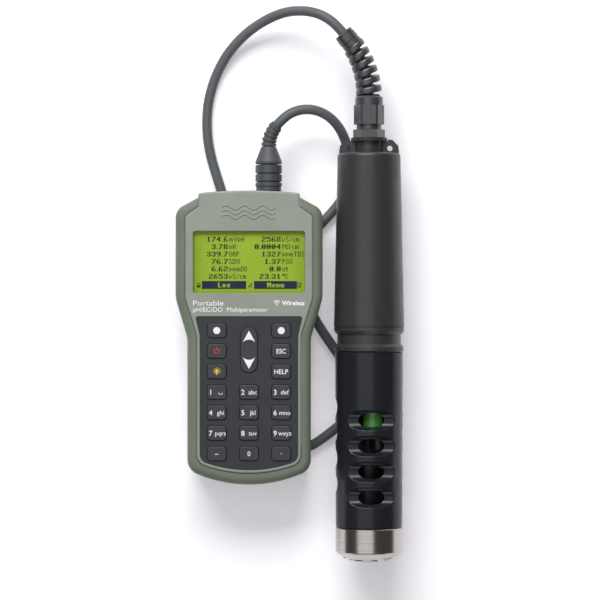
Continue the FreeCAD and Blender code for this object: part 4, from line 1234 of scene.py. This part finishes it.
@dataclass
class TubeWords:
    """The white words wrapped round the probe's tapered tube.

    Args:
        height: Where they stand, from the probe's lower end.
        aside: How far they stand right of the tube's front.
        low: Height of the tube's wide end.
        tall: Length of the taper.
        wide_end: Radius at the wide end.
        narrow_end: Radius at the narrow end.
        letter_tall: Height of a capital.
        line_wide: Length of the words.
    """

    height: float = 155.1 * MM
    aside: float = 2.5 * MM
    low: float = 142.8 * MM
    tall: float = 114.1 * MM
    wide_end: float = 22.15 * MM
    narrow_end: float = 19.8 * MM
    letter_tall: float = 3.8 * MM
    line_wide: float = 22.0 * MM

    def build(self) -> None:
        """Bend flat words on the cone: angle = x / radius, out = radius + print thickness."""
        flat = words("pH  EC  DO", self.letter_tall, -RAISED, RAISED, 0.02, self.line_wide)
        points = flat.points
        up = self.height + points[:, 1]
        radius = self.wide_end - (self.wide_end - self.narrow_end) * (up - self.low) / self.tall
        angle = (points[:, 0] + self.aside) / radius
        out = radius + points[:, 2]
        bent = np.stack([PROBE_X + out * np.sin(angle), PROBE_Y + up, out * np.cos(angle)], 1)
        piece("tube_print", Shape(bent, flat.faces), WHITE_INK.material(), BODY)


# ------------------------------------------------------------------ spiral guard
@dataclass
class SpiralGuard:
    """The coiled strip over the gland that keeps the cable from kinking, and its tip collar.

    Args:
        foot: Height of the strip's first turn on the probe.
        bend: Radius of the arc that the guard leans along.
        turn: How far it leans, in degrees.
        turns: Number of free turns.
        first_angle: Where the strip starts about the guard, in degrees.
        sunk: How far the strip starts below the guard's foot, as a share of the lean.
        reach: How far it runs from there, as a share of the lean.
        strip: Width of the strip along the guard.
        root: Its width at the inner radius, as a share of that.
        inner: The strip's inner radius.
        outer: Its outer radius at the foot.
        outer_tip: Its outer radius at the tip.
        collar: Profile of the collar in millimetres, along the cable and out from it.
    """

    foot: float = 292.6 * MM
    bend: float = 56.0 * MM
    turn: float = 40.0
    turns: float = 6.15
    first_angle: float = 326.0
    sunk: float = 0.01
    reach: float = 0.90
    strip: float = 4.3 * MM
    root: float = 0.80
    inner: float = 4.0 * MM
    outer: float = 8.35 * MM
    outer_tip: float = 7.2 * MM
    collar: tuple[tuple[float, float], ...] = (
        (-5.2, 3.45), (-5.2, 5.9), (-4.8, 6.4), (-2.3, 6.45), (-2.05, 6.0), (-1.5, 6.0), (-1.25, 6.45),
        (2.9, 6.4), (3.1, 5.95), (3.5, 5.95), (3.7, 6.2), (4.7, 6.15), (5.2, 5.7), (5.2, 3.45))

    def carried(self, lean: np.ndarray, along: np.ndarray, out: np.ndarray,
                angle: np.ndarray) -> np.ndarray:
        """Points about the leaning centreline.

        Args:
            lean: Angle reached on the arc, in radians.
            along: Extra distance along the heading there.
            out: Distance from the centreline.
            angle: Angle about it, from the outside of the bend towards the front.

        Returns:
            centre + bend (cos lean, sin lean), then out (cos angle, sin angle) on the outward
            and front directions, then along the heading (-sin lean, cos lean).
        """
        reach = self.bend + out * np.cos(angle)
        x = PROBE_X - self.bend + reach * np.cos(lean) - along * np.sin(lean)
        y = PROBE_Y + self.foot + reach * np.sin(lean) + along * np.cos(lean)
        return np.stack([x, y, out * np.sin(angle) + 0 * lean], -1)

    def strip_shape(self) -> Shape:
        """The strip wound round the guard.

        Returns:
            A rounded bar section, whose sides and rises are the sine and cosine raised to a
            small power, carried along a helix about the leaning centreline and thinning to
            the tip.
        """
        steps, around = 420, 16
        share = np.linspace(0.0, 1.0, steps)[:, None]
        corner = np.linspace(0.0, 2 * np.pi, around, endpoint=False)[None, :] + np.pi / around
        flat = 0.42  # One gives a round section, nought a square one.
        side = np.sign(np.cos(corner)) * np.abs(np.cos(corner)) ** flat
        rise = np.sign(np.sin(corner)) * np.abs(np.sin(corner)) ** flat
        outer = self.outer + (self.outer_tip - self.outer) * share
        out = (outer + self.inner) / 2 + (outer - self.inner) / 2 * rise
        lean = np.radians(self.turn) * (self.reach * share - self.sunk)
        angle = -2 * np.pi * self.turns * share + np.radians(self.first_angle)
        height = (out - self.inner) / (outer - self.inner)
        along = side * self.strip / 2 * (self.root + (1 - self.root) * height)
        return swept(self.carried(lean + 0 * corner, along, out, angle + 0 * corner))

    def collar_shape(self) -> Shape:
        """The collar at the guard's tip.

        Returns:
            Its profile turned round the cable where the guard ends.
        """
        sides = 64
        profile = np.array(self.collar) * MM
        angle = np.linspace(0.0, 2 * np.pi, sides, endpoint=False)[:, None]
        lean = np.full((sides, len(profile)), math.radians(self.turn))
        points = self.carried(lean, profile[None, :, 0], profile[None, :, 1], angle + 0 * lean)
        return Shape(points.reshape(-1, 3), lattice_faces(sides, len(profile), True, True))

    def build(self) -> None:
        """Make the strip and the collar, which stand for the CAD sleeve."""
        finish = FINISHES["gland_plastic"].material()
        for name, shape in (("guard_strip", self.strip_shape()), ("guard_collar", self.collar_shape())):
            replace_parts(piece(name, shape, finish, BODY, 35.0), "gland_spiral")


# ------------------------------------------------------------------ cable
@dataclass
class Cable:
    """The probe's cable, lying round the meter from the guard to the plug.

    Args:
        wide: Diameter.
        length: Real length from the guard's tip to the plug's boot; not used.
        floor: Height of its middle where it lies on the table, in millimetres.
        rise: Its route from the guard's tip down to the table, in millimetres.
        lying: Its route on the table, round and under the meter.
        climb: Its route from the table up to the plug.
    """

    wide: float = 6.3 * MM
    length: float = 0.664
    floor: float = -25.5
    rise: tuple[Point, ...] = (
        (33.556, 164.2795, 0.0), (28.03, 170.87, 0.0), (18.8, 176.6, -2.2), (8.8, 179.0, -6.4),
        (-3.2, 178.6, -11.8), (-15.5, 173.8, -16.4), (-27.5, 166.0, -20.0), (-38.3, 154.9, -22.8),
        (-46.0, 142.0, -24.7))
    lying: tuple[tuple[float, float], ...] = (
        (-50.8, 128.5), (-52.9, 115.5), (-52.8, 101.0), (-50.6, 88.0), (-47.2, 76.5), (-42.6, 62.5),
        (-38.9, 38.0), (-37.6, 8.0), (-37.4, -24.0), (-33.0, -58.0), (-24.0, -86.0), (-16.8, -94.3),
        (-7.0, -99.3), (4.0, -100.3), (14.5, -97.1), (27.0, -88.0), (35.7, -80.4), (40.9, -71.2),
        (42.2, -60.8), (39.5, -50.6), (28.8, -36.0), (16.5, -17.8), (6.5, 2.1), (4.6, 19.7),
        (9.5, 32.5), (19.0, 43.5), (28.2, 53.1), (35.3, 62.9))
    climb: tuple[Point, ...] = (
        (39.1, 74.2, -24.9), (37.9, 86.5, -21.8), (35.8, 96.3, -17.2), (31.6, 105.2, -12.8),
        (25.0, 112.2, -9.0), (16.6, 116.1, -6.2), (8.6, 116.5, -4.8), (1.8, 114.6, -4.2),
        (-4.02, 110.76, -4.15), (-8.0345, 106.3172, -4.15))

    def build(self) -> bpy.types.Object:
        """Returns:
            The curve's object.
        """
        lying = [(x, y, self.floor) for x, y in self.lying]
        route = np.array([*self.rise, *lying, *self.climb]) * MM
        curve = bpy.data.curves.new("probe_cable", "CURVE")
        curve.dimensions = "3D"
        curve.bevel_depth, curve.bevel_resolution, curve.resolution_u = self.wide / 2, 6, 10
        curve.use_fill_caps = True
        spline = curve.splines.new("NURBS")
        spline.points.add(len(route) - 1)
        spline.points.foreach_set("co", np.hstack([route, np.ones((len(route), 1))]).ravel())
        spline.order_u = 3
        spline.use_endpoint_u = True
        spline.use_smooth = True
        curve.materials.append(FINISHES["cable_jacket"].material())
        cable = bpy.data.objects.new("probe_cable", curve)
        bpy.context.scene.collection.objects.link(cable)
        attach(cable, BODY)
        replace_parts(cable, "cable")
        log.info("probe_cable: %d control points", len(route))
        return cable


# ------------------------------------------------------------------ studio
@dataclass
class Studio:
    """A white table, soft lamps and a camera straight above.

    Args:
        centre: What the camera looks at.
        above: The camera's height over the table frame.
        lens: Focal length in millimetres on a 36 mm sensor.
        half_floor: Half the table's width.
        table_glow: Light that the table gives off, as a light table does.
        glow_tint: Colour of that light.
        sky: Strength of the light from all round.
        sky_tint: Its colour.
        lamps: Each lamp's name, place, width and length, and power in watts.
    """

    centre: tuple[float, float] = (6.48 * MM, -4.13 * MM)
    above: float = 2.112
    lens: float = 201.0
    half_floor: float = 3.0
    table_glow: float = 0.25
    glow_tint: Colour = (0.97, 0.94, 1.0, 1.0)
    sky: float = 0.07
    sky_tint: Colour = (0.93, 0.94, 1.0, 1.0)
    lamps: tuple[tuple[str, Point, tuple[float, float], float], ...] = (
        ("ceiling", (-0.33, 0.0, 1.5), (1.5, 1.6), 7.0),
        ("head", (-0.3, 1.5, 1.35), (1.6, 0.9), 48.0),
        ("foot", (0.25, -1.6, 1.1), (1.4, 0.7), 6.0))

    def lay_floor(self) -> None:
        """Lay the white table under the object's lowest point."""
        level = BOX_AT_LOAD[0][2]
        half = self.half_floor
        mesh = bpy.data.meshes.new("table")
        mesh.from_pydata([(-half, -half, level), (half, -half, level), (half, half, level),
                          (-half, half, level)], [], [(0, 1, 2, 3)])
        table = Finish("white_table", "f6f5f8", "f3f2f6", 0.85, 0.95, 900.0, 0.00001, "f0f0f2",
                       specular=0.1).material()
        shader = next(node for node in table.node_tree.nodes if node.type == "BSDF_PRINCIPLED")
        shader.inputs["Emission Color"].default_value = self.glow_tint
        shader.inputs["Emission Strength"].default_value = self.table_glow
        mesh.materials.append(table)
        floor = bpy.data.objects.new("table", mesh)
        bpy.context.scene.collection.objects.link(floor)

    def hang_lamp(self, name: str, place: Point, size: tuple[float, float], power: float) -> None:
        """Hang a soft rectangular lamp aimed at the object, unseen by the camera.

        Args:
            name: The lamp's name.
            place: Where it hangs.
            size: Its width and length.
            power: In watts.
        """
        light = bpy.data.lights.new(name, "AREA")
        light.shape, light.energy = "RECTANGLE", power
        light.size, light.size_y = size
        thing = bpy.data.objects.new(name, light)
        thing.location = place
        aim = np.array((*self.centre, 0.0)) - np.array(place)
        thing.rotation_euler = Vector(aim).to_track_quat("-Z", "Y").to_euler()
        thing.visible_camera = False
        bpy.context.scene.collection.objects.link(thing)

    def light(self) -> None:
        """Hang a wide ceiling, a strong lamp at the table's head and a weak one at its foot."""
        for lamp in self.lamps:
            self.hang_lamp(*lamp)
        world = bpy.data.worlds.new("studio")
        world.use_nodes = True
        sky = world.node_tree.nodes["Background"]
        sky.inputs["Color"].default_value = self.sky_tint
        sky.inputs["Strength"].default_value = self.sky
        bpy.context.scene.world = world
        bpy.context.scene.view_settings.view_transform = "Standard"

    def mount_camera(self) -> None:
        """Hang the camera over the middle of the group, looking straight down."""
        data = bpy.data.cameras.new("camera")
        data.lens, data.sensor_width = self.lens, 36.0
        data.clip_start, data.clip_end = 0.05, 20.0
        camera = bpy.data.objects.new("camera", data)
        camera.location = (*self.centre, self.above)
        bpy.context.scene.collection.objects.link(camera)
        bpy.context.scene.camera = camera

    def build(self) -> None:
        """Set up the whole studio."""
        self.mount_camera()
        self.lay_floor()
        self.light()


def lit_panel() -> Backlight:
    """The display's finish, measured from the window that it is seen through.

    Returns:
        A panel lit over the window's area and a margin round it.
    """
    low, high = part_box("display_window")
    margin = 4 * MM
    return Backlight(
        # The second green, 84a524, gives both the clouds in the panel's light and the painted shade
        # towards its edges.
        "display_panel", "a3c132", "84a524", 0.5, 0.62, CELLS_FINE, 0.000004, "b4d24a", specular=0.2,
        middle=((low.x + high.x) / 2, (low.y + high.y) / 2), wide=high.x - low.x + margin,
        tall=high.y - low.y + margin, face=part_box("display_module")[1].z)


def main() -> None:
    """Build the scene in order."""
    FINISHES["display_panel"] = lit_panel()
    Studio().build()
    Cable().build()
    Dresser(FINISHES).dress()
    Readout().build()
    KeyLegends().build()
    FaceMarks().build()
    TubeWords().build()
    SpiralGuard().build()


if __name__ == "__main__":
    main()
